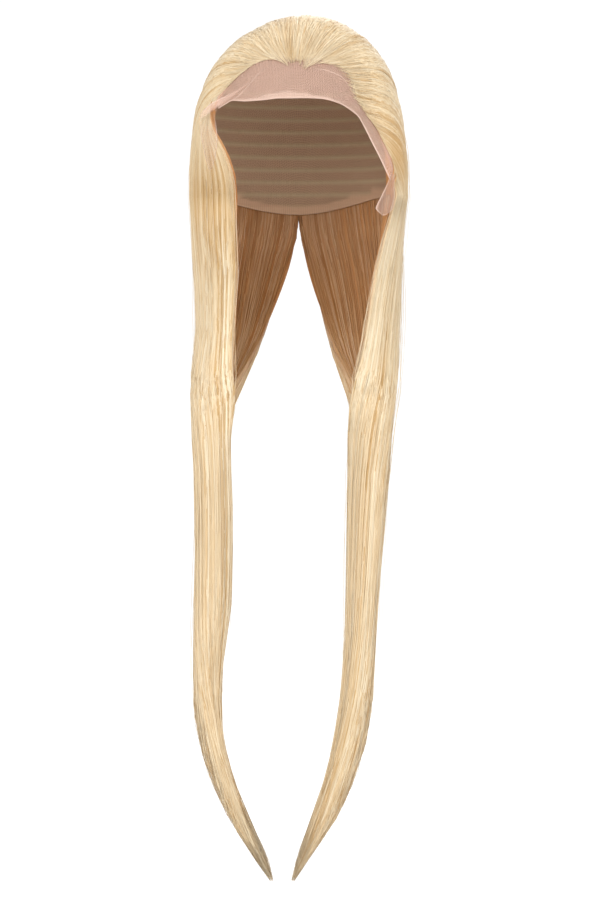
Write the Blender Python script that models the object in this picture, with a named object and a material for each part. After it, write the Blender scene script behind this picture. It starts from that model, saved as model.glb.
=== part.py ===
"""A long straight lace front wig: cap, lace, ear tabs and hair in locks.

Metres, +Z up. The face opening is towards -Y and the viewer's right is +X.
The origin is the inside of the cap at the crown, where a head would touch it.
"""

import math

import bmesh
import bpy

# Cap: an ellipsoid above its widest level and an upright wall below it.
CAP_HALF_WIDTH = 0.084
CAP_HALF_DEPTH = 0.098
CAP_HEIGHT = 0.095
CAP_WALL = 0.0135
HAIR_SEAT = 0.0200
RING_POLAR = 129.2
RING_GAP = 0.0004

# Hair: columns for each side, rows over the crown and locks for each side.
SIDE_COLUMNS = 28
CROWN_ROWS = 14
LOCKS = 7
SPLIT_SHARE = 0.46
PIECE_GAP = 0.0005
ROOT_THICKNESS = 0.013
CREST = 0.0030
CROWN_SHIFT = 0.006

# Lace: sheet thickness and the step by which it clears the hair.
LACE_THICKNESS = 0.001
LACE_CLEARANCE = 0.0028

# Fullness of the hair over the cap, as a factor on the cap's size, by polar
# angle from the crown: to the side, to the front and to the back.
FULLNESS = [
    {"polar": 0, "side": 1.140, "front": 1.140, "back": 1.140},
    {"polar": 25, "side": 1.148, "front": 1.138, "back": 1.142},
    {"polar": 40, "side": 1.168, "front": 1.132, "back": 1.146},
    {"polar": 55, "side": 1.182, "front": 1.120, "back": 1.150},
    {"polar": 70, "side": 1.180, "front": 1.105, "back": 1.152},
    {"polar": 82, "side": 1.190, "front": 1.095, "back": 1.154},
    {"polar": 97, "side": 1.222, "front": 1.080, "back": 1.155},
    {"polar": 115, "side": 1.246, "front": 1.068, "back": 1.154},
    {"polar": 130, "side": 1.250, "front": 1.060, "back": 1.153},
]

# Hairline, from the ear or temple (share 0) to the centre peak (share 1).
# azimuth and polar place the root on the cap, flare lifts it off the cap,
# heading is the way the hair leaves it (0 straight back, 90 sideways), and
# ring is the azimuth where that hair passes ear level.
HAIRLINE = {
    "right": [
        {"share": 0.00, "azimuth": 70.0, "polar": 116.5, "flare": 0.150, "heading": 112, "ring": 62},
        {"share": 0.08, "azimuth": 69.0, "polar": 107.0, "flare": 0.100, "heading": 84, "ring": 69},
        {"share": 0.17, "azimuth": 62.3, "polar": 94.0, "flare": 0.012, "heading": 64, "ring": 77},
        {"share": 0.26, "azimuth": 50.6, "polar": 85.0, "flare": 0.0, "heading": 58, "ring": 86},
        {"share": 0.36, "azimuth": 41.5, "polar": 72.5, "flare": 0.0, "heading": 64, "ring": 97},
        {"share": 0.46, "azimuth": 40.4, "polar": 60.5, "flare": 0.0, "heading": 62, "ring": 109},
        {"share": 0.58, "azimuth": 32.7, "polar": 53.3, "flare": 0.0, "heading": 56, "ring": 124},
        {"share": 0.72, "azimuth": 20.4, "polar": 49.2, "flare": 0.0, "heading": 40, "ring": 143},
        {"share": 0.86, "azimuth": 8.5, "polar": 47.6, "flare": 0.0, "heading": 20, "ring": 162},
        {"share": 1.00, "azimuth": -2.5, "polar": 48.6, "flare": 0.0, "heading": 0, "ring": 180},
    ],
    "left": [
        {"share": 0.00, "azimuth": 64.5, "polar": 75.5, "flare": 0.090, "heading": 142, "ring": 35},
        {"share": 0.12, "azimuth": 61.8, "polar": 72.5, "flare": 0.055, "heading": 96, "ring": 49},
        {"share": 0.24, "azimuth": 59.0, "polar": 69.5, "flare": 0.025, "heading": 78, "ring": 65},
        {"share": 0.36, "azimuth": 54.3, "polar": 65.6, "flare": 0.008, "heading": 69, "ring": 83},
        {"share": 0.52, "azimuth": 45.4, "polar": 56.5, "flare": 0.0, "heading": 62, "ring": 107},
        {"share": 0.70, "azimuth": 31.8, "polar": 49.4, "flare": 0.0, "heading": 52, "ring": 134},
        {"share": 0.86, "azimuth": 15.0, "polar": 47.4, "flare": 0.0, "heading": 26, "ring": 159},
        {"share": 1.00, "azimuth": 2.5, "polar": 48.6, "flare": 0.0, "heading": 0, "ring": 180},
    ],
}

# Level sections of each side's hair below ear level, in millimetres, with the
# lateral way positive. The hair runs round an ellipse about (centre, middle)
# from angle start (0 faces front) to angle end, with a wall on each way.
SECTIONS = {
    "right": [
        {"z": -160, "centre": 0.3, "side": 104.7, "middle": 0, "front": 103.9, "back": 113.0, "start": 62, "end": 180, "wall_side": 19.4, "wall_front": 4.2, "wall_back": 13.0},
        {"z": -185, "centre": 1.5, "side": 100.5, "middle": 0, "front": 99.0, "back": 109.0, "start": 57, "end": 180, "wall_side": 18.5, "wall_front": 6.0, "wall_back": 13.0},
        {"z": -215, "centre": 6.0, "side": 94.0, "middle": 0, "front": 90.0, "back": 100.0, "start": 50, "end": 180, "wall_side": 17.0, "wall_front": 9.0, "wall_back": 14.0},
        {"z": -260, "centre": 20.0, "side": 78.4, "middle": -8, "front": 76.0, "back": 80.0, "start": 40, "end": 181, "wall_side": 16.0, "wall_front": 13.0, "wall_back": 16.0},
        {"z": -306, "centre": 44.0, "side": 52.0, "middle": -30, "front": 53.0, "back": 56.0, "start": 16, "end": 188, "wall_side": 16.0, "wall_front": 15.0, "wall_back": 18.0},
        {"z": -350, "centre": 66.0, "side": 26.5, "middle": -58, "front": 30.0, "back": 33.0, "start": -40, "end": 225, "wall_side": 16.0, "wall_front": 18.0, "wall_back": 20.0},
        {"z": -390, "centre": 66.6, "side": 20.8, "middle": -72, "front": 20.0, "back": 22.0, "start": -84, "end": 264, "wall_side": 19.3, "wall_front": 18.5, "wall_back": 20.5},
        {"z": -465, "centre": 63.8, "side": 17.9, "middle": -78, "front": 17.5, "back": 18.5, "start": -88, "end": 268, "wall_side": 16.9, "wall_front": 16.5, "wall_back": 17.5},
        {"z": -541, "centre": 60.2, "side": 15.2, "middle": -80, "front": 16.0, "back": 16.5, "start": -88, "end": 268, "wall_side": 14.2, "wall_front": 15.0, "wall_back": 15.5},
        {"z": -598, "centre": 57.9, "side": 14.7, "middle": -80, "front": 15.0, "back": 15.5, "start": -88, "end": 268, "wall_side": 13.7, "wall_front": 14.0, "wall_back": 14.5},
        {"z": -636, "centre": 55.2, "side": 15.6, "middle": -80, "front": 14.5, "back": 15.0, "start": -88, "end": 268, "wall_side": 14.6, "wall_front": 13.5, "wall_back": 14.0},
        {"z": -675, "centre": 49.5, "side": 15.6, "middle": -80, "front": 13.5, "back": 14.0, "start": -88, "end": 268, "wall_side": 14.6, "wall_front": 12.5, "wall_back": 13.0},
        {"z": -713, "centre": 39.5, "side": 14.3, "middle": -80, "front": 12.0, "back": 12.0, "start": -88, "end": 268, "wall_side": 13.3, "wall_front": 11.0, "wall_back": 11.0},
        {"z": -752, "centre": 24.3, "side": 11.5, "middle": -80, "front": 9.5, "back": 9.5, "start": -88, "end": 268, "wall_side": 10.5, "wall_front": 8.5, "wall_back": 8.5},
        {"z": -790, "centre": 3.0, "side": 5.6, "middle": -80, "front": 5.0, "back": 5.0, "start": -88, "end": 268, "wall_side": 4.8, "wall_front": 4.2, "wall_back": 4.2},
        {"z": -811, "centre": -5.2, "side": 1.7, "middle": -80, "front": 1.6, "back": 1.6, "start": -88, "end": 268, "wall_side": 1.3, "wall_front": 1.2, "wall_back": 1.2},
    ],
    "left": [
        {"z": -160, "centre": 0.3, "side": 104.7, "middle": 0, "front": 103.9, "back": 113.0, "start": 35, "end": 180, "wall_side": 19.4, "wall_front": 4.2, "wall_back": 13.0},
        {"z": -185, "centre": 1.5, "side": 102.0, "middle": 0, "front": 98.0, "back": 109.0, "start": 35, "end": 180, "wall_side": 18.5, "wall_front": 6.0, "wall_back": 13.0},
        {"z": -215, "centre": 6.0, "side": 96.3, "middle": 0, "front": 88.0, "back": 100.0, "start": 36, "end": 180, "wall_side": 17.0, "wall_front": 9.0, "wall_back": 14.0},
        {"z": -260, "centre": 22.0, "side": 77.2, "middle": -8, "front": 75.0, "back": 80.0, "start": 34, "end": 181, "wall_side": 16.0, "wall_front": 13.0, "wall_back": 16.0},
        {"z": -300, "centre": 44.0, "side": 54.5, "middle": -27, "front": 54.0, "back": 58.0, "start": 19, "end": 187, "wall_side": 16.0, "wall_front": 15.0, "wall_back": 18.0},
        {"z": -345, "centre": 74.0, "side": 28.0, "middle": -56, "front": 32.0, "back": 36.0, "start": -24, "end": 215, "wall_side": 16.0, "wall_front": 17.0, "wall_back": 20.0},
        {"z": -390, "centre": 82.0, "side": 18.0, "middle": -72, "front": 19.0, "back": 22.0, "start": -84, "end": 264, "wall_side": 16.8, "wall_front": 17.5, "wall_back": 20.5},
        {"z": -465, "centre": 80.0, "side": 17.6, "middle": -78, "front": 17.5, "back": 18.5, "start": -88, "end": 268, "wall_side": 16.6, "wall_front": 16.5, "wall_back": 17.5},
        {"z": -541, "centre": 81.3, "side": 17.5, "middle": -80, "front": 16.5, "back": 17.0, "start": -88, "end": 268, "wall_side": 16.5, "wall_front": 15.5, "wall_back": 16.0},
        {"z": -598, "centre": 85.7, "side": 14.2, "middle": -80, "front": 15.0, "back": 15.5, "start": -88, "end": 268, "wall_side": 13.2, "wall_front": 14.0, "wall_back": 14.5},
        {"z": -636, "centre": 88.1, "side": 12.0, "middle": -80, "front": 13.5, "back": 14.0, "start": -88, "end": 268, "wall_side": 11.0, "wall_front": 12.5, "wall_back": 13.0},
        {"z": -675, "centre": 83.5, "side": 12.0, "middle": -80, "front": 12.5, "back": 13.0, "start": -88, "end": 268, "wall_side": 11.0, "wall_front": 11.5, "wall_back": 12.0},
        {"z": -713, "centre": 74.1, "side": 10.2, "middle": -80, "front": 11.0, "back": 11.0, "start": -88, "end": 268, "wall_side": 9.2, "wall_front": 10.0, "wall_back": 10.0},
        {"z": -752, "centre": 57.0, "side": 9.2, "middle": -80, "front": 9.0, "back": 9.0, "start": -88, "end": 268, "wall_side": 8.2, "wall_front": 8.0, "wall_back": 8.0},
        {"z": -790, "centre": 35.0, "side": 7.4, "middle": -80, "front": 6.0, "back": 6.0, "start": -88, "end": 268, "wall_side": 6.6, "wall_front": 5.2, "wall_back": 5.2},
        {"z": -811, "centre": 25.6, "side": 1.9, "middle": -80, "front": 1.8, "back": 1.8, "start": -88, "end": 268, "wall_side": 1.5, "wall_front": 1.4, "wall_back": 1.4},
    ],
}

# Lower edge of the forehead lace, in millimetres, below each share of the
# hairline. It ends short of the hair's front edge on both sides.
LACE_EDGE = {
    "left": [
        {"share": 0.10, "x": -75.0, "y": -65.5, "z": -78.5},
        {"share": 0.22, "x": -69.0, "y": -68.5, "z": -75.0},
        {"share": 0.36, "x": -61.3, "y": -73.0, "z": -71.6},
        {"share": 0.52, "x": -49.5, "y": -80.5, "z": -70.5},
        {"share": 0.70, "x": -33.0, "y": -88.5, "z": -68.0},
        {"share": 0.86, "x": -17.5, "y": -93.0, "z": -65.5},
        {"share": 1.00, "x": -4.1, "y": -94.5, "z": -66.0},
    ],
    "right": [
        {"share": 0.04, "x": 86.8, "y": -50.6, "z": -145.0},
        {"share": 0.10, "x": 77.0, "y": -50.0, "z": -124.0},
        {"share": 0.17, "x": 70.0, "y": -54.0, "z": -111.0},
        {"share": 0.26, "x": 62.5, "y": -63.0, "z": -97.0},
        {"share": 0.36, "x": 56.0, "y": -73.5, "z": -86.5},
        {"share": 0.46, "x": 47.5, "y": -80.5, "z": -80.0},
        {"share": 0.58, "x": 37.0, "y": -86.5, "z": -74.5},
        {"share": 0.72, "x": 22.0, "y": -91.5, "z": -69.5},
        {"share": 0.86, "x": 8.5, "y": -94.0, "z": -67.5},
        {"share": 1.00, "x": -4.1, "y": -94.5, "z": -66.0},
    ],
}

# Loose ear tab on the right, hanging: its two edges row by row, millimetres.
RIGHT_TAB = [
    {"z": -145.35, "inner_x": 85.6, "outer_x": 91.0, "inner_y": -50.8, "outer_y": -51.6},
    {"z": -153.0, "inner_x": 82.4, "outer_x": 90.6, "inner_y": -52.6, "outer_y": -53.4},
    {"z": -161.0, "inner_x": 78.2, "outer_x": 90.4, "inner_y": -54.4, "outer_y": -54.8},
    {"z": -168.0, "inner_x": 74.4, "outer_x": 89.6, "inner_y": -56.0, "outer_y": -55.6},
    {"z": -172.8, "inner_x": 74.2, "outer_x": 87.4, "inner_y": -57.0, "outer_y": -56.2},
    {"z": -176.4, "inner_x": 77.6, "outer_x": 82.8, "inner_y": -57.4, "outer_y": -57.0},
]

# Ear tab on the left, turned back on the hair: its edges by polar angle.
LEFT_TAB = [
    {"polar": 84.0, "inner": 51.0, "outer": 66.0},
    {"polar": 91.0, "inner": 48.0, "outer": 63.5},
    {"polar": 98.0, "inner": 46.6, "outer": 60.5},
    {"polar": 105.0, "inner": 47.0, "outer": 57.0},
    {"polar": 111.0, "inner": 48.6, "outer": 54.0},
    {"polar": 114.5, "inner": 50.0, "outer": 52.4},
]

MATERIALS = {
    "hair": {"colour": (0.83, 0.63, 0.37, 1.0), "roughness": 0.45},
    "hair_back": {"colour": (0.74, 0.53, 0.29, 1.0), "roughness": 0.5},
    "cap": {"colour": (0.46, 0.30, 0.19, 1.0), "roughness": 0.8},
    "lace": {"colour": (0.78, 0.62, 0.54, 1.0), "roughness": 0.7},
}


def smooth(value):
    value = min(1.0, max(0.0, value))
    return value * value * (3.0 - 2.0 * value)


def read(table, key, value, column):
    """The column's value at key = value, on a smooth line through the rows."""
    rows = table if table[0][key] <= table[-1][key] else table[::-1]
    if value <= rows[0][key]:
        return rows[0][column]
    if value >= rows[-1][key]:
        return rows[-1][column]
    i = 0
    while rows[i + 1][key] < value:
        i += 1
    x = [row[key] for row in rows]
    y = [row[column] for row in rows]
    run = x[i + 1] - x[i]
    slope = (y[i + 1] - y[i]) / run
    before = (y[i] - y[i - 1]) / (x[i] - x[i - 1]) if i else slope
    after = (y[i + 2] - y[i + 1]) / (x[i + 2] - x[i + 1]) if i + 2 < len(x) else slope
    m0 = 0.0 if before * slope <= 0 else 2 * before * slope / (before + slope)
    m1 = 0.0 if after * slope <= 0 else 2 * after * slope / (after + slope)
    t = (value - x[i]) / run
    a = 2 * t**3 - 3 * t**2 + 1
    b = t**3 - 2 * t**2 + t
    c = -2 * t**3 + 3 * t**2
    d = t**3 - t**2
    return a * y[i] + b * run * m0 + c * y[i + 1] + d * run * m1


def sign_of(side):
    return 1.0 if side == "right" else -1.0


def chart_point(side, share, t):
    """Where the hair of this share runs, t from root to ear level.

    The chart is (across, back) in degrees from the crown, lateral positive.
    """
    table = HAIRLINE[side]
    azimuth = math.radians(read(table, "share", share, "azimuth"))
    polar = read(table, "share", share, "polar")
    heading = math.radians(read(table, "share", share, "heading"))
    ring = math.radians(read(table, "share", share, "ring"))
    x0 = polar * math.sin(azimuth)
    y0 = -polar * math.cos(azimuth)
    x1 = RING_POLAR * math.sin(ring)
    y1 = -RING_POLAR * math.cos(ring)
    chord = math.hypot(x1 - x0, y1 - y0)
    a = 2 * t**3 - 3 * t**2 + 1
    b = (t**3 - 2 * t**2 + t) * chord
    c = -2 * t**3 + 3 * t**2
    d = (t**3 - t**2) * chord
    x = a * x0 + b * math.sin(heading) + c * x1 + d * math.sin(ring)
    y = a * y0 + b * math.cos(heading) + c * y1 - d * math.cos(ring)
    return x, y


def fullness(polar, azimuth):
    """Factors on the cap's width and depth of the hair's outer surface."""
    side = read(FULLNESS, "polar", polar, "side")
    front = read(FULLNESS, "polar", polar, "front")
    back = read(FULLNESS, "polar", polar, "back")
    turn = smooth((abs(azimuth) - 60.0) / 60.0)
    return side, front + (back - front) * turn


def dome_point(side, azimuth, polar, across, along):
    """A point over the cap, scaled by across in width and along in depth."""
    rise = 0.5 * (across + along)
    if polar <= 90.0:
        radius = math.sin(math.radians(polar))
        z = -CAP_HEIGHT + rise * CAP_HEIGHT * math.cos(math.radians(polar))
    else:
        radius = 1.0
        z = -CAP_HEIGHT * (1.0 + math.radians(polar - 90.0))
    angle = math.radians(azimuth)
    x = sign_of(side) * across * CAP_HALF_WIDTH * radius * math.sin(angle)
    y = -along * CAP_HALF_DEPTH * radius * math.cos(angle)
    return x, y, z


def crown_shift(polar, share):
    """The crown's hair stands a little fuller on the right."""
    if polar >= 90.0:
        return 0.0
    return CROWN_SHIFT * share * math.cos(math.radians(polar)) ** 2


def lock_height(side, share, along):
    """Height of the lock relief, rounded on each lock and sharp between."""
    place = share * LOCKS
    inside = place - math.floor(place)
    number = min(LOCKS - 1, int(place))
    swell = 0.75 + 0.25 * math.sin(2.3 * number + 1.1 * sign_of(side) + 3.0 * along)
    return swell * math.sin(math.pi * inside) ** 0.8


def edge_share(share):
    """The hair thins towards its front edge."""
    return 0.28 + 0.72 * smooth(share / 0.16)


def crown_point(side, share, t, level):
    """A point of the crown: level cap_in, cap_out, hair_in or hair_out."""
    x, y = chart_point(side, share, t)
    polar = math.hypot(x, y)
    azimuth = math.degrees(math.atan2(x, -y))
    flare = read(HAIRLINE[side], "share", share, "flare") * (1.0 - smooth(t))
    seat = 1.0 + flare
    if level == "cap_in":
        return dome_point(side, azimuth, polar, seat, seat)
    if level == "cap_out":
        seat += CAP_WALL
        return dome_point(side, azimuth, polar, seat, seat)
    inner = seat + HAIR_SEAT
    root_x, root_y = chart_point(side, share, 0.0)
    travel = math.hypot(x - root_x, y - root_y)
    growth = math.sin(0.5 * math.pi * min(1.0, travel / 30.0))
    growth = max(growth, smooth(t))
    across, along = fullness(polar, azimuth)
    outer_x = inner + ROOT_THICKNESS + growth * max(0.0, across - inner - ROOT_THICKNESS)
    outer_y = inner + ROOT_THICKNESS + growth * max(0.0, along - inner - ROOT_THICKNESS)
    if level == "hair_in":
        thin = edge_share(share)
        in_x = outer_x + (inner - outer_x) * thin
        in_y = outer_y + (inner - outer_y) * thin
        px, py, pz = dome_point(side, azimuth, polar, in_x, in_y)
        shift = crown_shift(polar, 1.0) * growth * (1.0 - thin)
        return px + shift, py, pz
    relief = CREST * lock_height(side, share, t) * (0.25 + 0.75 * growth)
    lift = relief / CAP_HALF_DEPTH * min(1.0, 4.0 * growth + 0.2)
    lift -= 0.35 * CREST / CAP_HALF_DEPTH * growth
    px, py, pz = dome_point(side, azimuth, polar, outer_x + lift, outer_y + lift)
    return px + crown_shift(polar, 1.0) * growth, py, pz


def fall_point(side, share, z, inner, way):
    """A point of the hair below ear level, on its outer or inner face.

    way is -1 for the front piece and 1 for the back one, so that they stay apart.
    """
    table = SECTIONS[side]
    level = z * 1000.0
    names = ("centre", "side", "middle", "front", "back", "start", "end")
    centre, half, middle, front, back, start, end = (
        read(table, "z", level, name) for name in names
    )
    ring = read(HAIRLINE[side], "share", share, "ring")
    first = HAIRLINE[side][0]["ring"]
    angle = start + (end - start) * (ring - first) / (180.0 - first)
    theta = math.radians(angle)
    closed = smooth((-0.30 - z) / 0.08)
    if inner:
        thin = edge_share(share)
        thin += (1.0 - thin) * closed
        half -= read(table, "z", level, "wall_side") * thin
        front -= read(table, "z", level, "wall_front") * thin
        back -= read(table, "z", level, "wall_back") * thin
        lift = 0.0
    else:
        size = min(1.0, half / 14.0)
        crest = 1000.0 * CREST * (1.0 - 0.35 * closed) * size
        lift = crest * (lock_height(side, share, 1.0) - 0.35)
    depth = back if math.cos(theta) < 0 else front
    x = centre + (half + lift) * math.sin(theta)
    y = middle - (depth + lift) * math.cos(theta)
    split = math.radians(start + (end - start) * SPLIT_SHARE)
    x += way * 500.0 * PIECE_GAP * math.cos(split)
    y += way * 500.0 * PIECE_GAP * math.sin(split)
    return sign_of(side) * x / 1000.0, y / 1000.0, z


def make_slab(name, outer, inner, material):
    """A closed solid between two grids of points of the same size."""
    rows = len(outer)
    columns = len(outer[0])
    mesh = bpy.data.meshes.new(name)
    form = bmesh.new()
    top = [[form.verts.new(p) for p in row] for row in outer]
    low = [[form.verts.new(p) for p in row] for row in inner]
    for i in range(rows - 1):
        for j in range(columns - 1):
            form.faces.new((top[i][j], top[i][j + 1], top[i + 1][j + 1], top[i + 1][j]))
            form.faces.new((low[i][j], low[i + 1][j], low[i + 1][j + 1], low[i][j + 1]))
    for i in range(rows - 1):
        for j in (0, columns - 1):
            form.faces.new((top[i][j], top[i + 1][j], low[i + 1][j], low[i][j]))
    for j in range(columns - 1):
        for i in (0, rows - 1):
            form.faces.new((top[i][j], low[i][j], low[i][j + 1], top[i][j + 1]))
    bmesh.ops.recalc_face_normals(form, faces=form.faces)
    form.to_mesh(mesh)
    form.free()
    made = bpy.data.objects.new(name, mesh)
    bpy.context.scene.collection.objects.link(made)
    made.data.materials.append(material)
    return made


def make_material(name, look):
    material = bpy.data.materials.new(name)
    material.use_nodes = True
    shader = material.node_tree.nodes["Principled BSDF"]
    shader.inputs["Base Color"].default_value = look["colour"]
    shader.inputs["Roughness"].default_value = look["roughness"]
    shader.inputs["Metallic"].default_value = 0.0
    material.diffuse_color = look["colour"]
    return material


def crown_columns(step, left_from=0.0, right_from=0.0):
    """(side, share) of each column, from the left front edge to the right."""
    count = SIDE_COLUMNS // step
    left = [("left", i / count) for i in range(count + 1)]
    right = [("right", i / count) for i in range(count - 1, -1, -1)]
    kept = [c for c in left if c[1] >= left_from - 1e-9]
    return kept + [c for c in right if c[1] >= right_from - 1e-9]


def make_crown():
    columns = crown_columns(1)
    ts = [i / CROWN_ROWS for i in range(CROWN_ROWS + 1)]
    grids = []
    for level in ("hair_out", "hair_in"):
        grids.append([[crown_point(side, share, t, level) for side, share in columns] for t in ts])
    make_slab("crown_hair", grids[0], grids[1], make_material("crown_hair_blonde", MATERIALS["hair"]))


def make_cap():
    columns = crown_columns(2, left_from=0.34, right_from=0.27)
    rows = CROWN_ROWS // 2
    ts = [i / rows for i in range(rows + 1)]
    grids = []
    for level in ("cap_out", "cap_in"):
        grids.append([[crown_point(side, share, t, level) for side, share in columns] for t in ts])
    make_slab("wig_cap", grids[0], grids[1], make_material("cap_net", MATERIALS["cap"]))


def fall_levels(side, last):
    """Levels of the rows: close together where the hair turns or ends."""
    top = SECTIONS[side][0]["z"] / 1000.0 - RING_GAP
    marks = [-0.172, -0.185, -0.200, -0.217, -0.236, -0.256, -0.276, -0.296, -0.316]
    marks += [-0.336, -0.356, -0.378, -0.405, -0.450, -0.510, -0.570, -0.615, -0.655]
    marks += [-0.690, -0.722, -0.752, -0.776, -0.796]
    return [top] + [z for z in marks if z > last + 0.008] + [last]


def make_fall(name, side, first, final, way, last, look):
    shares = [i / SIDE_COLUMNS for i in range(SIDE_COLUMNS + 1)]
    shares = [s for s in shares if first - 1e-9 <= s <= final + 1e-9]
    levels = fall_levels(side, last)
    grids = []
    for inner in (False, True):
        rows = []
        for z in levels:
            rows.append([fall_point(side, s, z, inner, way) for s in shares])
        grids.append(rows)
    make_slab(name, grids[0], grids[1], make_material(name + "_blonde", MATERIALS[look]))


def make_falls():
    for side in ("left", "right"):
        table = HAIRLINE[side]
        first = table[0]["ring"]
        best = min(
            range(SIDE_COLUMNS + 1),
            key=lambda i: abs(
                (read(table, "share", i / SIDE_COLUMNS, "ring") - first) / (180.0 - first)
                - SPLIT_SHARE
            ),
        )
        split = best / SIDE_COLUMNS
        make_fall("front_hair_" + side, side, 0.0, split, -1.0, -0.811, "hair")
        make_fall("back_hair_" + side, side, split, 1.0, 1.0, -0.803, "hair_back")


def lace_stations():
    """(side, share) of each line across the lace, in step with the cap."""
    count = SIDE_COLUMNS // 2
    inner = [i / count for i in range(count + 1)]
    left_end = LACE_EDGE["left"][0]["share"]
    right_end = LACE_EDGE["right"][0]["share"]
    left = [("left", left_end)] + [("left", s) for s in inner if s > left_end + 0.02]
    right = [("right", s) for s in inner[::-1][1:] if s > right_end + 0.02]
    return left + right + [("right", right_end)]


def make_lace():
    steps = 4
    outer = []
    inner = []
    for side, share in lace_stations():
        low = crown_point(side, share, 0.0, "cap_in")
        high = crown_point(side, share, 0.0, "cap_out")
        root = [0.5 * (a + b) for a, b in zip(low, high)]
        edge = [read(LACE_EDGE[side], "share", share, key) / 1000.0 for key in ("x", "y", "z")]
        run = math.dist(root, edge)
        start = LACE_CLEARANCE / run
        line_out = []
        line_in = []
        for k in range(steps + 1):
            f = k / steps
            along = start + (1.0 - start) * f
            p = [root[a] + (edge[a] - root[a]) * along for a in range(3)]
            way = (p[0] / CAP_HALF_WIDTH, p[1] / CAP_HALF_DEPTH)
            size = math.hypot(way[0], way[1])
            bulge = 0.06 * run * math.sin(math.pi * f)
            p[0] += bulge * way[0] / size
            p[1] += bulge * way[1] / size
            line_out.append(tuple(p))
            q = (
                p[0] - LACE_THICKNESS * way[0] / size,
                p[1] - LACE_THICKNESS * way[1] / size,
                p[2],
            )
            line_in.append(q)
        outer.append(line_out)
        inner.append(line_in)
    make_slab("lace_front", outer, inner, make_material("lace_sheer", MATERIALS["lace"]))


def make_tabs():
    columns = 5
    outer = []
    inner = []
    for row in RIGHT_TAB:
        line_out = []
        line_in = []
        for k in range(columns + 1):
            f = k / columns
            x = row["inner_x"] + (row["outer_x"] - row["inner_x"]) * f
            y = row["inner_y"] + (row["outer_y"] - row["inner_y"]) * f
            y -= 1.2 * math.sin(math.pi * f)
            line_out.append((x / 1000.0, y / 1000.0, row["z"] / 1000.0))
            line_in.append((x / 1000.0, y / 1000.0 + LACE_THICKNESS, row["z"] / 1000.0))
        outer.append(line_out)
        inner.append(line_in)
    make_slab("ear_tab_right", outer, inner, make_material("tab_sheer_right", MATERIALS["lace"]))
    outer = []
    inner = []
    for row in LEFT_TAB:
        line_out = []
        line_in = []
        for k in range(columns + 1):
            azimuth = row["inner"] + (row["outer"] - row["inner"]) * k / columns
            across, along = fullness(row["polar"], azimuth)
            lift = 0.034
            p = dome_point("left", azimuth, row["polar"], across + lift, along + lift)
            lift -= 0.012
            q = dome_point("left", azimuth, row["polar"], across + lift, along + lift)
            line_out.append(p)
            line_in.append(q)
        outer.append(line_out)
        inner.append(line_in)
    make_slab("ear_tab_left", outer, inner, make_material("tab_sheer_left", MATERIALS["lace"]))


def main():
    for obj in list(bpy.data.objects):
        bpy.data.objects.remove(obj, do_unlink=True)
    make_cap()
    make_crown()
    make_falls()
    make_lace()
    make_tabs()


main()
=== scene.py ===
"""A long straight lace front wig, dressed strand by strand over its solids.

Metres, +Z up. The open front is towards -Y. The hair runs along the same
lines as the solids: a share of the hairline from 0 at its front edge to 1 at
the centre, and a way t from the root to ear level, then a height z below it.
"""

import math

import bpy
import numpy as np
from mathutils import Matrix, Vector


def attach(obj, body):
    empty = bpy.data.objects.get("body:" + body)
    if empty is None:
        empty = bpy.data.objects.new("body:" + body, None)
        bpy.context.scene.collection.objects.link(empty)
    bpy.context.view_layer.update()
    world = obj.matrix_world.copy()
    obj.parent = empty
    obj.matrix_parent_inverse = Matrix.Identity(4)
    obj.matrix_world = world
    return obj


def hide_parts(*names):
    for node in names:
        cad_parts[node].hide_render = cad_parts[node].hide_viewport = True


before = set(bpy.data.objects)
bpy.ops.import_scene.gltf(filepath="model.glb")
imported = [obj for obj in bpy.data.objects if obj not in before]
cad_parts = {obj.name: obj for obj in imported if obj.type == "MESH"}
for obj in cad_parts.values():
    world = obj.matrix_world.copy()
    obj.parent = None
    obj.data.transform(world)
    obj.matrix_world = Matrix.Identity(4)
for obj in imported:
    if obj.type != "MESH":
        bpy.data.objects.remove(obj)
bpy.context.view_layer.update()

bl_info = {
    "name": "Lace Front Wig",
    "version": (1, 0, 0),
    "blender": (4, 5, 0),
    "location": "3D View > Sidebar > Wig",
    "description": "Builds a long straight wig: cap, lace, tabs and hair in strands",
    "category": "Object",
}


def named_rows(columns, *rows):
    """Rows of values under columns, whose names stand apart in one text."""
    names = columns.split()
    return [dict(zip(names, row)) for row in rows]


# The cap's size, as in the solids. Then, as shares of that size: the cap's wall,
# where hair and lace sit on it, how thick the hair is at its roots, and how far
# the left tab's two faces stand off the hair.
CAP_HALF_WIDTH = 0.084
CAP_HALF_DEPTH = 0.098
CAP_HEIGHT = 0.095
CAP_WALL = 0.0135
HAIR_SEAT = 0.0200
LACE_SEAT = 0.0172
ROOT_THICKNESS = 0.013
TAB_SEAT = (0.022, 0.018)

# The cap's middle and its mean radius, how far it reaches below ear level at
# the nape, and how thick its net and the lace are.
CAP_MIDDLE = np.array([0.0, 0.0, -CAP_HEIGHT])
CAP_RADIUS = 0.09
NAPE_DROP = 0.016
CAP_THICKNESS = 0.0009
LACE_THICKNESS = 0.0004

# Ear level as a polar angle from the crown and as a height, and the height
# below which each side's hair is a closed tail.
RING_POLAR = 129.2
RING_HEIGHT = -0.160
CLOSED_HEIGHT = -0.42

# The hair mass starts at FIRST_SHARE, and its front and back part at
# SPLIT_SHARE. The hair thins towards its front edge from THIN_SHARE. CREST is
# the relief of locks, and CROWN_SHIFT how much fuller the crown is on the right.
SPLIT_SHARE = 0.46
FIRST_SHARE = 0.02
THIN_SHARE = 0.16
LOCKS = 7
CREST = 0.0013
CROWN_SHIFT = 0.006

# Where each side's hair beside the opening is deeper in colour: the level on
# the way down, and the share of the hairline that it reaches.
GOLDEN = {"left": (1.02, 0.22), "right": (0.42, 0.24)}

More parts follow.
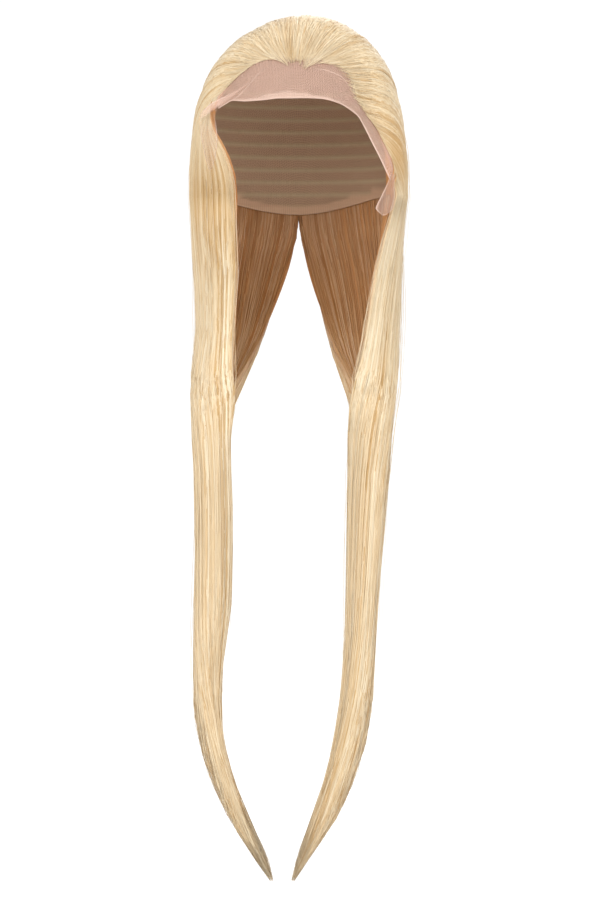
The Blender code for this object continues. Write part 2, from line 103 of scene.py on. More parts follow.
# Painted shade along the creases between locks: share, half width, and where they start and end.
CREASES = {
    "left": (
        (0.60, 0.010, 0.05, 0.30),
        (0.42, 0.012, 0.10, 0.45),
        (0.10, 0.010, 1.4, 2.2),
    ),
    "right": (
        (0.73, 0.012, 0.12, 0.42),
        (0.52, 0.010, 0.15, 0.55),
        (0.30, 0.010, 0.30, 0.8),
        (0.20, 0.008, 1.5, 2.6),
    ),
}

# The way down a strand counts one for each FALL_UNIT below ear level, and
# STRAIGHTEN spreads the front strands where the curtain closes to a tail. The
# hair mass starts at BED_START and ends BED_SHORT above the tips.
FALL_UNIT = 0.16
STRAIGHTEN = 0.09
STRAIGHTENINGS = 5
BED_START = 0.02
BED_SHORT = 0.055

# Each kind of strand: its seed on the left, one less than on the right, and its
# stations over the crown, down to the closed tail and along the tail. Of the
# outer strands, FRONT_PART belong to the front lengths.
STRAND_KINDS = {
    "front": (11, (13, 8, 7)),
    "back": (21, (16, 7, 6)),
    "inner": (31, (3, 8, 7)),
    "stray": (41, (8, 8, 7)),
    "hairline": (51, None),
    "front_edge": (61, (7, 8, 7)),
    "back_edge": (71, (2, 8, 7)),
}
FRONT_PART = 0.54
FRONT_EDGE_STRANDS = 90
BACK_EDGE_STRANDS = 110

SIDES = ("left", "right")

# The corners round a strand, in degrees from the way out of the hair, and the
# share out and across of the way each is shaded, so that a strand's flat side
# is lit like the surface it lies on.
STRAND_CORNERS = ((60.0, 0.80, 0.60), (180.0, -1.0, 0.0), (300.0, 0.80, -0.60))

# Streaks of colour across a side's hair mass, and across all of its strands.
MASS_STREAKS = 330.0
STRAND_STREAKS = 97.0

# The camera stands 2.5 m in front of the wig and looks slightly down.
CAMERA_PLACE = (0.0015, -2.5, -0.212)
CAMERA_TILT = 4.40848
CAMERA_LENS = 103.09
CAMERA_SENSOR = 36.0

# The pale ground: its level, its own grey and glow, the white seen beyond it
# and the strength of the light from all round.
FLOOR_LEVEL = -0.95
FLOOR_GREY = 0.30
FLOOR_GLOW = 0.84
SEEN_WHITE = 1.05
WORLD_LIGHT = 0.67
WHITE = (1.0, 1.0, 1.0, 1.0)

# Studio lights: name, place, aim, width and height, and power in watts.
STUDIO_LIGHTS = (
    ("key", (-1.1, -2.0, 1.1), (0.0, 0.0, -0.25), (1.8, 1.8), 34.0),
    ("fill", (1.4, -1.8, 0.3), (0.0, 0.0, -0.35), (1.8, 2.0), 19.5),
    ("top", (0.0, 0.2, 1.6), (0.0, 0.0, 0.0), (1.6, 1.6), 7.5),
    ("back", (0.3, 2.0, 0.8), (0.0, 0.0, -0.2), (1.6, 1.6), 14.0),
)

# In a metre: the holes of the lace and of the cap's net, the stitches of its hem
# and the hairs in its sewn rows. In metres: from one sewn row to the next, the
# hem's width and half a wrinkle's. HEM_AND_SHEEN_COLOUR is that of rims, folds
# and wrinkles: the lace doubled there, with a painted highlight.
LACE_HOLES = 640.0
NET_HOLES = 420.0
HEM_STITCHES = 330.0
SEWN_HAIRS = 1600.0
SEWN_ROW = 0.0125
HEM_WIDTH = 0.009
WRINKLE_HALF_WIDTH = 0.0009
HEM_AND_SHEEN_COLOUR = (0.94, 0.70, 0.58, 1.0)

# How much of each sheer piece shows: between threads, on them and on its rim.
# What shows between the threads of the front is a setting.
FRONT_SHOWS = (0.64, 0.60)
LACE_SHOWS = {
    "lace_fold_sheer": (0.30, 0.50, 0.62),
    "tab_sheer_right": (0.12, 0.48, 0.40),
    "tab_sheer_left": (0.05, 0.14, 0.36),
}

# Fullness of the hair over the cap, as a factor on the cap's size, by polar
# angle from the crown: to the side, to the front and to the back.
FULLNESS = named_rows(
    "polar side front back",
    (0, 1.140, 1.140, 1.140),
    (25, 1.148, 1.138, 1.142),
    (40, 1.168, 1.132, 1.146),
    (55, 1.182, 1.120, 1.150),
    (70, 1.180, 1.105, 1.152),
    (82, 1.190, 1.095, 1.154),
    (97, 1.222, 1.080, 1.155),
    (115, 1.246, 1.068, 1.154),
    (130, 1.250, 1.060, 1.153),
)

# Hairline, from the ear or temple (share 0) to the centre peak (share 1).
# azimuth and polar place the root on the cap, flare lifts it off the cap,
# heading is the way the hair leaves it (0 straight back, 90 sideways), and
# ring is the azimuth where that hair passes ear level.
HAIRLINE = {
    "right": named_rows(
        "share azimuth polar flare heading ring",
        (0.00, 70.0, 116.5, 0.150, 112, 62),
        (0.08, 69.0, 107.0, 0.100, 84, 69),
        (0.17, 62.3, 94.0, 0.012, 64, 77),
        (0.26, 50.6, 85.0, 0.0, 58, 86),
        (0.36, 41.5, 72.5, 0.0, 64, 97),
        (0.46, 40.4, 60.5, 0.0, 62, 109),
        (0.58, 32.7, 53.3, 0.0, 56, 124),
        (0.72, 20.4, 49.2, 0.0, 40, 143),
        (0.86, 8.5, 47.6, 0.0, 20, 162),
        (1.00, -2.5, 48.6, 0.0, 0, 180),
    ),
    "left": named_rows(
        "share azimuth polar flare heading ring",
        (0.00, 64.5, 75.5, 0.090, 142, 35),
        (0.12, 61.8, 72.5, 0.055, 96, 49),
        (0.24, 59.0, 69.5, 0.025, 78, 65),
        (0.36, 54.3, 65.6, 0.008, 69, 83),
        (0.52, 45.4, 56.5, 0.0, 62, 107),
        (0.70, 31.8, 49.4, 0.0, 52, 134),
        (0.86, 15.0, 47.4, 0.0, 26, 159),
        (1.00, 2.5, 48.6, 0.0, 0, 180),
    ),
}

# Level sections of each side's hair below ear level, in millimetres, with the
# lateral way positive. The hair runs round an ellipse about (centre, middle)
# from angle start (0 faces front) to angle end, with a wall on each way.
SECTIONS = {
    "right": named_rows(
        "z centre side middle front back start end wall_side wall_front wall_back",
        (-160, 0.3, 104.7, 0, 103.9, 113.0, 62, 180, 19.4, 4.2, 13.0),
        (-185, 1.5, 100.5, 0, 99.0, 109.0, 57, 180, 18.5, 6.0, 13.0),
        (-215, 6.0, 94.0, 0, 90.0, 100.0, 50, 180, 17.0, 9.0, 14.0),
        (-260, 20.0, 78.4, -8, 76.0, 80.0, 40, 181, 16.0, 13.0, 16.0),
        (-306, 44.0, 52.0, -30, 53.0, 56.0, 16, 188, 16.0, 15.0, 18.0),
        (-350, 66.0, 26.5, -58, 30.0, 33.0, -40, 225, 16.0, 18.0, 20.0),
        (-390, 66.6, 20.8, -72, 20.0, 22.0, -84, 264, 19.3, 18.5, 20.5),
        (-465, 63.8, 17.9, -78, 17.5, 18.5, -88, 268, 16.9, 16.5, 17.5),
        (-541, 60.2, 15.2, -80, 16.0, 16.5, -88, 268, 14.2, 15.0, 15.5),
        (-598, 57.9, 14.7, -80, 15.0, 15.5, -88, 268, 13.7, 14.0, 14.5),
        (-636, 55.2, 15.6, -80, 14.5, 15.0, -88, 268, 14.6, 13.5, 14.0),
        (-675, 49.5, 15.6, -80, 13.5, 14.0, -88, 268, 14.6, 12.5, 13.0),
        (-713, 39.5, 14.3, -80, 12.0, 12.0, -88, 268, 13.3, 11.0, 11.0),
        (-752, 24.3, 11.5, -80, 9.5, 9.5, -88, 268, 10.5, 8.5, 8.5),
        (-790, 3.0, 5.6, -80, 5.0, 5.0, -88, 268, 4.8, 4.2, 4.2),
        (-811, -5.2, 1.7, -80, 1.6, 1.6, -88, 268, 1.3, 1.2, 1.2),
    ),
    "left": named_rows(
        "z centre side middle front back start end wall_side wall_front wall_back",
        (-160, 0.3, 104.7, 0, 103.9, 113.0, 35, 180, 19.4, 4.2, 13.0),
        (-185, 1.5, 102.0, 0, 98.0, 109.0, 35, 180, 18.5, 6.0, 13.0),
        (-215, 6.0, 96.3, 0, 88.0, 100.0, 36, 180, 17.0, 9.0, 14.0),
        (-260, 22.0, 77.2, -8, 75.0, 80.0, 34, 181, 16.0, 13.0, 16.0),
        (-300, 44.0, 54.5, -27, 54.0, 58.0, 19, 187, 16.0, 15.0, 18.0),
        (-345, 74.0, 28.0, -56, 32.0, 36.0, -24, 215, 16.0, 17.0, 20.0),
        (-390, 82.0, 18.0, -72, 19.0, 22.0, -84, 264, 16.8, 17.5, 20.5),
        (-465, 80.0, 17.6, -78, 17.5, 18.5, -88, 268, 16.6, 16.5, 17.5),
        (-541, 81.3, 17.5, -80, 16.5, 17.0, -88, 268, 16.5, 15.5, 16.0),
        (-598, 85.7, 14.2, -80, 15.0, 15.5, -88, 268, 13.2, 14.0, 14.5),
        (-636, 88.1, 12.0, -80, 13.5, 14.0, -88, 268, 11.0, 12.5, 13.0),
        (-675, 83.5, 12.0, -80, 12.5, 13.0, -88, 268, 11.0, 11.5, 12.0),
        (-713, 74.1, 10.2, -80, 11.0, 11.0, -88, 268, 9.2, 10.0, 10.0),
        (-752, 57.0, 9.2, -80, 9.0, 9.0, -88, 268, 8.2, 8.0, 8.0),
        (-790, 35.0, 7.4, -80, 6.0, 6.0, -88, 268, 6.6, 5.2, 5.2),
        (-811, 25.6, 1.9, -80, 1.8, 1.8, -88, 268, 1.5, 1.4, 1.4),
    ),
}

# Lower edge of the forehead lace, in millimetres, below each share of the
# hairline. It ends short of the hair's front edge on both sides.
LACE_EDGE = {
    "left": named_rows(
        "share x y z",
        (0.10, -75.0, -65.5, -78.5),
        (0.22, -69.0, -68.5, -75.0),
        (0.36, -61.3, -73.0, -71.6),
        (0.52, -49.5, -80.5, -72.6),
        (0.70, -33.0, -88.5, -72.0),
        (0.86, -17.5, -93.0, -70.6),
        (1.00, -4.1, -94.5, -70.6),
    ),
    "right": named_rows(
        "share x y z",
        (0.04, 86.8, -50.6, -145.0),
        (0.10, 77.0, -50.0, -124.0),
        (0.17, 70.0, -54.0, -111.0),
        (0.26, 62.5, -63.0, -97.0),
        (0.36, 56.0, -73.5, -86.5),
        (0.46, 47.5, -80.5, -80.0),
        (0.58, 37.0, -86.5, -74.5),
        (0.72, 22.0, -91.5, -71.0),
        (0.86, 8.5, -94.0, -70.4),
        (1.00, -4.1, -94.5, -70.6),
    ),
}

# The lace's left end, folded back over the hair: the middle of the fold from
# the lace to its tip, and its width, millimetres.
LACE_FOLD = named_rows(
    "x y z width",
    (-26.5, -76.5, -37.8, 1.2),
    (-38.6, -78.2, -49.0, 1.8),
    (-49.9, -75.4, -58.0, 2.6),
    (-59.4, -72.0, -65.1, 5.0),
    (-69.9, -69.4, -71.3, 8.5),
    (-76.6, -67.6, -74.8, 9.5),
    (-83.0, -63.8, -78.8, 9.5),
    (-90.0, -54.0, -83.8, 8.0),
    (-95.5, -44.0, -88.0, 4.0),
)

# Fine wrinkles in the lace: how far down it they run by share, and how clear.
LACE_WRINKLES = {
    "left": named_rows(
        "share down clear",
        (0.30, 1.00, 0.0),
        (0.37, 0.93, 0.8),
        (0.55, 0.64, 1.0),
        (0.66, 0.41, 0.8),
        (0.72, 0.30, 0.6),
        (0.80, 0.24, 0.3),
        (0.90, 0.20, 0.0),
    ),
    "right": named_rows(
        "share down clear",
        (0.04, 0.60, 0.0),
        (0.14, 0.58, 0.4),
        (0.26, 0.48, 0.4),
        (0.40, 0.52, 0.6),
        (0.48, 0.43, 0.9),
        (0.56, 0.31, 1.0),
        (0.67, 0.31, 1.0),
        (0.79, 0.32, 0.5),
        (0.90, 0.26, 0.0),
    ),
}

# Loose ear tab on the right, hanging: its two edges row by row, millimetres.
RIGHT_TAB = named_rows(
    "z inner_x outer_x inner_y outer_y",
    (-139.0, 86.8, 90.6, -49.6, -50.4),
    (-145.4, 85.2, 91.0, -50.8, -51.6),
    (-153.0, 81.6, 91.0, -52.6, -53.4),
    (-161.0, 77.6, 90.8, -54.4, -54.8),
    (-168.0, 74.0, 90.2, -56.0, -55.6),
    (-171.6, 72.8, 89.4, -56.8, -56.0),
    (-174.8, 75.4, 86.6, -57.2, -56.6),
    (-178.2, 79.6, 82.0, -57.4, -57.0),
)

# Ear tab on the left, turned back on the hair: its edges by polar angle.
LEFT_TAB = named_rows(
    "polar inner outer",
    (84.0, 51.0, 66.0),
    (91.0, 48.0, 63.5),
    (98.0, 46.6, 60.5),
    (105.0, 47.0, 57.0),
    (111.0, 48.6, 54.0),
    (114.5, 50.0, 52.4),
)


def smooth(value):
    """A soft step: 0 at or below 0, 1 at or above 1, level at both ends."""
    value = np.clip(value, 0.0, 1.0)
    return value * value * (3.0 - 2.0 * value)


def bends(t):
    """How much each end's value and slope count at t along a smooth line."""
    start = 2 * t**3 - 3 * t**2 + 1
    leaving = t**3 - 2 * t**2 + t
    end = -2 * t**3 + 3 * t**2
    arriving = t**3 - t**2
    return start, leaving, end, arriving


def read(table, key, value, column):
    """The column's value at key = value, on a smooth line through the rows."""
    rows = table if table[0][key] <= table[-1][key] else table[::-1]
    x = np.array([row[key] for row in rows], float)
    y = np.array([row[column] for row in rows], float)
    run = np.diff(x)
    slope = np.diff(y) / run
    before = np.concatenate([slope[:1], slope])
    after = np.concatenate([slope, slope[-1:]])
    total = before + after
    total[np.abs(total) < 1e-12] = 1.0
    tangent = np.where(before * after > 0, 2.0 * before * after / total, 0.0)
    value = np.clip(np.asarray(value, float), x[0], x[-1])
    i = np.clip(np.searchsorted(x, value, side="right") - 1, 0, len(run) - 1)
    a, b, c, d = bends((value - x[i]) / run[i])
    return a * y[i] + b * run[i] * tangent[i] + c * y[i + 1] + d * run[i] * tangent[i + 1]


def sign_of(side):
    """The way across: the right side is towards +X."""
    return 1.0 if side == "right" else -1.0


def chart_point(side, share, t):
    """Where the hair of this share runs, in degrees (across, back) from the crown."""
    azimuth, polar, heading, ring = (
        read(HAIRLINE[side], "share", share, name)
        for name in ("azimuth", "polar", "heading", "ring")
    )
    azimuth, heading, ring = np.radians(azimuth), np.radians(heading), np.radians(ring)
    x0 = polar * np.sin(azimuth)
    y0 = -polar * np.cos(azimuth)
    x1 = RING_POLAR * np.sin(ring)
    y1 = -RING_POLAR * np.cos(ring)
    chord = np.hypot(x1 - x0, y1 - y0)
    a, b, c, d = bends(t)
    b, d = b * chord, d * chord
    x = a * x0 + b * np.sin(heading) + c * x1 + d * np.sin(ring)
    y = a * y0 + b * np.cos(heading) + c * y1 - d * np.cos(ring)
    return x, y


def fullness(polar, azimuth):
    """Factors on the cap's width and depth of the hair's outer surface."""
    side, front, back = (
        read(FULLNESS, "polar", polar, name) for name in ("side", "front", "back")
    )
    turn = smooth((np.abs(azimuth) - 60.0) / 60.0)
    return side, front + (back - front) * turn


def dome_point(side, azimuth, polar, across, along):
    """Points over the cap, scaled by across in width and along in depth."""
    polar = np.asarray(polar, float)
    rise = 0.5 * (across + along)
    lean = np.radians(np.minimum(polar, 90.0))
    radius = np.sin(lean)
    above = -CAP_HEIGHT + rise * CAP_HEIGHT * np.cos(lean)
    below = -CAP_HEIGHT * (1.0 + np.radians(np.maximum(polar - 90.0, 0.0)))
    z = np.where(polar <= 90.0, above, below)
    angle = np.radians(azimuth)
    x = sign_of(side) * across * CAP_HALF_WIDTH * radius * np.sin(angle)
    y = -along * CAP_HALF_DEPTH * radius * np.cos(angle)
    return np.stack(np.broadcast_arrays(x, y, z), axis=-1)


def crown_shift(polar):
    """The crown's hair stands a little fuller on the right."""
    lean = np.radians(np.minimum(polar, 90.0))
    return CROWN_SHIFT * np.cos(lean) ** 2


def lock_height(side, share, way):
    """Height of the soft relief of locks, from 0 to 1, drifting on the way down."""
    turn = 2.0 * math.pi * share
    shift = sign_of(side) * 1.3
    broad = np.sin(LOCKS * turn + shift + 0.9 * way)
    middle = np.sin(1.9 * LOCKS * turn + 2.0 * shift - 0.7 * way + 1.7 * np.sin(3.0 * turn))
    fine = np.sin(4.3 * LOCKS * turn + 0.5 * way + 2.6 * np.sin(2.0 * turn + way))
    return 0.5 + 0.22 * broad + 0.17 * middle + 0.11 * fine


def edge_share(share):
    """The hair thins towards its front edge."""
    return 0.28 + 0.72 * smooth(share / THIN_SHARE)


def over_cap(side, share, t):
    """The chart's two ways, azimuth, polar angle and flare of points over the cap."""
    x, y = chart_point(side, share, t)
    azimuth = np.degrees(np.arctan2(x, -y))
    flare = read(HAIRLINE[side], "share", share, "flare") * (1.0 - smooth(t))
    return x, y, azimuth, np.hypot(x, y), flare


def crown_faces(side, share, t):
    """Outer and inner points of the hair over the crown."""
    share, t = np.broadcast_arrays(np.asarray(share, float), np.asarray(t, float))
    x, y, azimuth, polar, flare = over_cap(side, share, t)
    inner = 1.0 + flare + HAIR_SEAT
    root_x, root_y = chart_point(side, share, 0.0)
    travel = np.where(t > 0.0, np.hypot(x - root_x, y - root_y), 0.0)
    growth = np.sin(0.5 * math.pi * np.minimum(1.0, travel / 30.0))
    growth = np.maximum(growth, smooth(t))
    across, along = fullness(polar, azimuth)
    base = inner + ROOT_THICKNESS
    outer_x = base + growth * np.maximum(0.0, across - base)
    outer_y = base + growth * np.maximum(0.0, along - base)
    thin = edge_share(share)
    in_x = outer_x + (inner - outer_x) * thin
    in_y = outer_y + (inner - outer_y) * thin
    low = dome_point(side, azimuth, polar, in_x, in_y)
    low[..., 0] += crown_shift(polar) * growth * (1.0 - thin)
    relief = CREST * lock_height(side, share, t) * (0.25 + 0.75 * growth)
    lift = relief / CAP_HALF_DEPTH * np.minimum(1.0, 4.0 * growth + 0.2)
    lift = lift - 0.35 * CREST / CAP_HALF_DEPTH * growth
    high = dome_point(side, azimuth, polar, outer_x + lift, outer_y + lift)
    high[..., 0] += crown_shift(polar) * growth
    return high, low


def seat_point(side, share, t, raised):
    """A point over the cap itself, raised by a share of its size."""
    share, t = np.broadcast_arrays(np.asarray(share, float), np.asarray(t, float))
    _, _, azimuth, polar, flare = over_cap(side, share, t)
    size = 1.0 + flare + raised
    return dome_point(side, azimuth, polar, size, size)


def section(side, z, *names):
    """Named columns of a side's level sections, in their own units."""
    return [read(SECTIONS[side], "z", z * 1000.0, name) for name in names]


def fall_faces(side, share, z):
    """Outer and inner points of the hair below ear level."""
    share, z = np.broadcast_arrays(np.asarray(share, float), np.asarray(z, float))
    centre, half, middle, front, back, start, end = section(
        side, z, "centre", "side", "middle", "front", "back", "start", "end"
    )
    ring = read(HAIRLINE[side], "share", share, "ring")
    first = HAIRLINE[side][0]["ring"]
    closed = smooth((-0.30 - z) / 0.08)
    turn = (ring - first) / (180.0 - first)
    spread = smooth((-0.25 - z) / 0.16)
    turn = turn + STRAIGHTEN * spread * np.sin(math.pi * np.minimum(1.0, turn / 0.42))
    theta = np.radians(start + (end - start) * turn)
    size = np.minimum(1.0, half / 14.0)
    crest = 1000.0 * CREST * (1.0 - 0.35 * closed) * size
    lift = crest * (lock_height(side, share, 1.0 + (RING_HEIGHT - z) / FALL_UNIT) - 0.35)
    backwards = np.cos(theta) < 0
    depth = np.where(backwards, back, front)
    high_x = centre + (half + lift) * np.sin(theta)
    high_y = middle - (depth + lift) * np.cos(theta)
    thin = edge_share(share)
    thin = thin + (1.0 - thin) * closed
    wall_side, wall_front, wall_back = section(side, z, "wall_side", "wall_front", "wall_back")
    half_in = half - wall_side * thin
    front_in = front - wall_front * thin
    back_in = back - wall_back * thin
    low_x = centre + half_in * np.sin(theta)
    low_y = middle - np.where(backwards, back_in, front_in) * np.cos(theta)
    sign = sign_of(side)
    high = np.stack([sign * high_x / 1000.0, high_y / 1000.0, z], axis=-1)
    low = np.stack([sign * low_x / 1000.0, low_y / 1000.0, z], axis=-1)
    return high, low


def outward(high, low):
    """Ways from the inner to the outer points, of unit length, and how far."""
    out = high - low
    depth = np.linalg.norm(out, axis=-1)
    return out / (depth[..., None] + 1e-9), depth


def straightened(side, high, low):
    """The same outer and inner points, slid round the hair so that each strand
    runs straighter down it."""
    z = high[..., 2]
    centre, half, middle, front, back = section(
        side, z, "centre", "side", "middle", "front", "back"
    )
    heart = np.stack([sign_of(side) * centre, middle, z * 1000.0], axis=-1) / 1000.0

    def girth(points):
        depth = np.where(points[..., 1] > heart[..., 1], back, front)
        offset = (points - heart) * 1000.0
        return np.hypot(offset[..., 0] / half, offset[..., 1] / depth)[..., None]

    slid = high.copy()
    for _ in range(STRAIGHTENINGS):
        slid[:, 1:-1] = 0.25 * slid[:, :-2] + 0.5 * slid[:, 1:-1] + 0.25 * slid[:, 2:]
        slid[..., 2] = z
    slid = heart + (slid - heart) * girth(high) / np.maximum(girth(slid), 0.2)
    share = girth(low) / np.maximum(girth(high), 0.2)
    return slid, heart + (slid - heart) * share


def curve_through(place, values):
    """Values at fractional rows of a table, on a smooth line through them."""
    rows = [{"row": k, "value": v} for k, v in enumerate(values)]
    return read(rows, "row", place, "value")


def travelled(points):
    """Lengths along the rows of points, from the first row."""
    step = np.linalg.norm(np.diff(points, axis=0), axis=-1)
    return np.concatenate([np.zeros((1,) + step.shape[1:]), np.cumsum(step, axis=0)])


def mesh_object(name, points, blocks, attributes):
    """An object from arrays. blocks holds (faces, corner UVs) by face size, and
    attributes one value or vector for each point."""
    mesh = bpy.data.meshes.new(name)
    faces = [np.asarray(block[0], np.int32) for block in blocks]
    sizes = np.concatenate([np.full(len(f), f.shape[1], np.int32) for f in faces])
    corners = np.concatenate([f.ravel() for f in faces])
    starts = np.concatenate([[0], np.cumsum(sizes)[:-1]]).astype(np.int32)
    mesh.vertices.add(len(points))
    mesh.vertices.foreach_set("co", np.asarray(points, np.float32).ravel())
    mesh.loops.add(len(corners))
    mesh.loops.foreach_set("vertex_index", corners)
    mesh.polygons.add(len(sizes))
    mesh.polygons.foreach_set("loop_start", starts)
    mesh.polygons.foreach_set("loop_total", sizes)
    mesh.polygons.foreach_set("use_smooth", np.ones(len(sizes), bool))
    mesh.update(calc_edges=True)
    layer = mesh.uv_layers.new(name="OFBake")
    uv = np.concatenate([np.asarray(block[1], np.float32).reshape(-1, 2) for block in blocks])
    layer.data.foreach_set("uv", uv.ravel())
    for key, values in attributes.items():
        values = np.asarray(values, np.float32)
        if values.size == 3 * len(points):
            made = mesh.attributes.new(key, "FLOAT_VECTOR", "POINT")
            made.data.foreach_set("vector", values.ravel())
        else:
            made = mesh.attributes.new(key, "FLOAT", "POINT")
            made.data.foreach_set("value", values.ravel())
    if mesh.validate():
        raise RuntimeError(name + " has faces that Blender can't use")
    obj = bpy.data.objects.new(name, mesh)
    bpy.context.scene.collection.objects.link(obj)
    return obj


def volume_of(points, quads):
    """Signed volume of a closed mesh of quads, positive with faces outwards."""
    a, b, c, d = (points[quads[:, k]] for k in range(4))
    first = np.einsum("ij,ij->i", a, np.cross(b, c)).sum()
    second = np.einsum("ij,ij->i", a, np.cross(c, d)).sum()
    return (first + second) / 6.0


def both(**values):
    """Attributes that are the same on a shell's outer and inner grid."""
    return {key: (value, value) for key, value in values.items()}


def shell(name, outer, inner, attributes):
    """A closed shell between two grids of points. attributes holds for each name
    its values on the outer and on the inner grid."""
    rows, columns, _ = outer.shape
    count = rows * columns
    top = np.arange(count).reshape(rows, columns)
    low = top + count
    u = np.linspace(0.01, 0.99, columns)
    v = np.linspace(0.0, 1.0, rows)
    uv_top = np.stack(np.meshgrid(u, 0.01 + 0.46 * v), axis=-1)
    uv_low = np.stack(np.meshgrid(u, 0.53 + 0.46 * v), axis=-1)

    def cells(grid, turned):
        ring = [grid[:-1, :-1], grid[:-1, 1:], grid[1:, 1:], grid[1:, :-1]]
        if turned:
            ring = ring[::-1]
        return np.stack(ring, axis=2).reshape((-1, 4) + grid.shape[2:])

    faces = [cells(top, False), cells(low, True)]
    uvs = [cells(uv_top, False), cells(uv_low, True)]
    rims = (
        (top[0], low[0], 0.480),
        (low[-1], top[-1], 0.490),
        (low[:, 0], top[:, 0], 0.500),
        (top[:, -1], low[:, -1], 0.510),
    )
    for first, second, place in rims:
        along = np.linspace(0.01, 0.99, len(first))
        levels = np.tile([[place], [place + 0.008]], (1, len(along)))
        band = np.stack([np.tile(along, (2, 1)), levels], -1)
        faces.append(cells(np.stack([second, first]), False))
        uvs.append(cells(band, False))
    points = np.concatenate([outer.reshape(-1, 3), inner.reshape(-1, 3)])
    quads = np.concatenate(faces)
    uv = np.concatenate(uvs)
    if volume_of(points, quads) < 0.0:
        quads = quads[:, ::-1]
        uv = uv[:, ::-1]
    values = {
        key: np.concatenate([np.broadcast_to(half, (rows, columns)).ravel() for half in pair])
        for key, pair in attributes.items()
    }
    return mesh_object(name, points, [(quads, uv)], values)


def tubes(name, paths, outward, radii, values):
    """Thin closed three-sided strands along paths of shape (strand, station, 3).
    values holds for each attribute one value for each strand."""
    count, stations, _ = paths.shape
    tangent = np.gradient(paths, axis=1)
    tangent /= np.linalg.norm(tangent, axis=-1, keepdims=True) + 1e-12
    out = outward - np.sum(outward * tangent, axis=-1, keepdims=True) * tangent
    out /= np.linalg.norm(out, axis=-1, keepdims=True) + 1e-12
    across = np.cross(tangent, out)
    ring = []
    facing = []
    for degrees, outwards, sideways in STRAND_CORNERS:
        angle = math.radians(degrees)
        corner = math.cos(angle) * out + math.sin(angle) * across
        ring.append(paths + radii[..., None] * corner)
        facing.append(outwards * out + sideways * across)
    points = np.stack(ring, axis=2)
    facing = np.stack(facing, axis=2)
    index = np.arange(count * stations * 3).reshape(count, stations, 3)
    u0 = np.broadcast_to(((np.arange(count) + 0.1) / count)[:, None], (count, stations - 1))
    u1 = np.broadcast_to(((np.arange(count) + 0.9) / count)[:, None], (count, stations - 1))
    v = np.linspace(0.0, 1.0, stations)
    quads = []
    uvs = []
    for k in range(3):
        n = (k + 1) % 3
        quads.append(
            np.stack([index[:, :-1, k], index[:, :-1, n], index[:, 1:, n], index[:, 1:, k]], -1)
        )
        low = np.broadcast_to(((k + 0.02 + 0.96 * v[:-1]) / 3.0)[None, :], u0.shape)
        high = np.broadcast_to(((k + 0.02 + 0.96 * v[1:]) / 3.0)[None, :], u0.shape)
        corners = ((u0, low), (u1, low), (u1, high), (u0, high))
        uvs.append(np.stack([np.stack(corner, -1) for corner in corners], axis=2))
    quads = np.concatenate([q.reshape(-1, 4) for q in quads])
    uvs = np.concatenate([w.reshape(-1, 4, 2) for w in uvs])
    caps = np.concatenate([index[:, 0, ::-1], index[:, -1, :]])
    middle = (np.arange(count) + 0.5) / count
    cap_uv = []
    for level in (0.0012, 0.9988):
        corners = ((-0.2, level), (0.2, level), (0.0, level + 0.0008))
        places = [np.stack([middle + step / count, np.full(count, up)], -1) for step, up in corners]
        cap_uv.append(np.stack(places, axis=1))
    cap_uv = np.concatenate(cap_uv)
    cloud = points.reshape(-1, 3)
    if volume_of(cloud, quads) < 0.0:
        quads = quads[:, ::-1]
        uvs = uvs[:, ::-1]
        caps = caps[:, ::-1]
        cap_uv = cap_uv[:, ::-1]
    shape = (count, stations, 3)
    attributes = {"facing": facing}
    for key, value in values.items():
        value = np.asarray(value, float)
        value = value[:, None, None] if value.ndim == 1 else value[:, :, None]
        attributes[key] = np.broadcast_to(value, shape)
    return mesh_object(name, cloud, [(quads, uvs), (caps, cap_uv)], attributes)


def turned_back(share):
    """Shares with what runs past the centre turned back from it."""
    return np.where(share > 1.0, 2.0 - share, share)


def flow(side, share, start, end, rng, drift, rows):
    """Outer and inner points, outward ways and depths of strands from root to
    tip, with the way down: 0 at the root, 1 at ear level and on from there.
    rows counts stations over the crown, down to the closed tail and along it."""
    count = len(share)
    crown, closing, tail = rows
    slip = rng.uniform(-0.4, 0.4, (count, 1))

    def steps(number, first):
        step = np.arange(number + 1.0)[None, :] + slip
        step[:, 0] = 0.0
        step[:, -1] = number
        return step[:, first:] / number

    t = start[:, None] + (1.0 - start[:, None]) * steps(crown - 1, 0) ** 1.15
    z_closing = RING_HEIGHT + (CLOSED_HEIGHT - RING_HEIGHT) * steps(closing, 1)
    z_tail = CLOSED_HEIGHT + (end[:, None] - CLOSED_HEIGHT) * steps(tail, 1)
    z = np.concatenate([z_closing, z_tail], axis=1)
    way = np.concatenate([t, 1.0 + (RING_HEIGHT - z) / FALL_UNIT], axis=1)
    phase = rng.uniform(0.0, 2.0 * math.pi, (count, 3))
    sway = (
        0.6 * np.sin(1.5 * way + phase[:, :1])
        + 0.3 * np.sin(3.3 * way + phase[:, 1:2])
        + 0.1 * np.sin(7.0 * way + phase[:, 2:3])
    )
    line = turned_back(np.abs(share[:, None] + drift * sway))
    high_c, low_c = crown_faces(side, line[:, :crown], t)
    high_f, low_f = straightened(side, *fall_faces(side, line[:, crown:], z))
    high = np.concatenate([high_c, high_f], axis=1)
    low = np.concatenate([low_c, low_f], axis=1)
    out, depth = outward(high, low)
    return high, low, out, depth, way, line


def gathered(count, first, last, clumps, rng):
    """Shares of the hairline drawn together in clumps, and each one's clump."""
    centre = (np.arange(clumps) + rng.uniform(0.1, 0.9, clumps)) / clumps
    owner = rng.integers(0, clumps, count)
    share = turned_back(np.abs(centre[owner] + rng.normal(0.0, 0.45, count) / clumps))
    return first + (last - first) * share, owner


def strand_ends(side, count, rng):
    """Levels of the tips: half of them reach the end and the rest thin out."""
    tips = SECTIONS[side][-1]["z"] / 1000.0
    full = rng.uniform(0.0, 0.045, count)
    short = 0.26 * rng.random(count) ** 1.5
    return tips + np.where(rng.random(count) < 0.55, full, short)


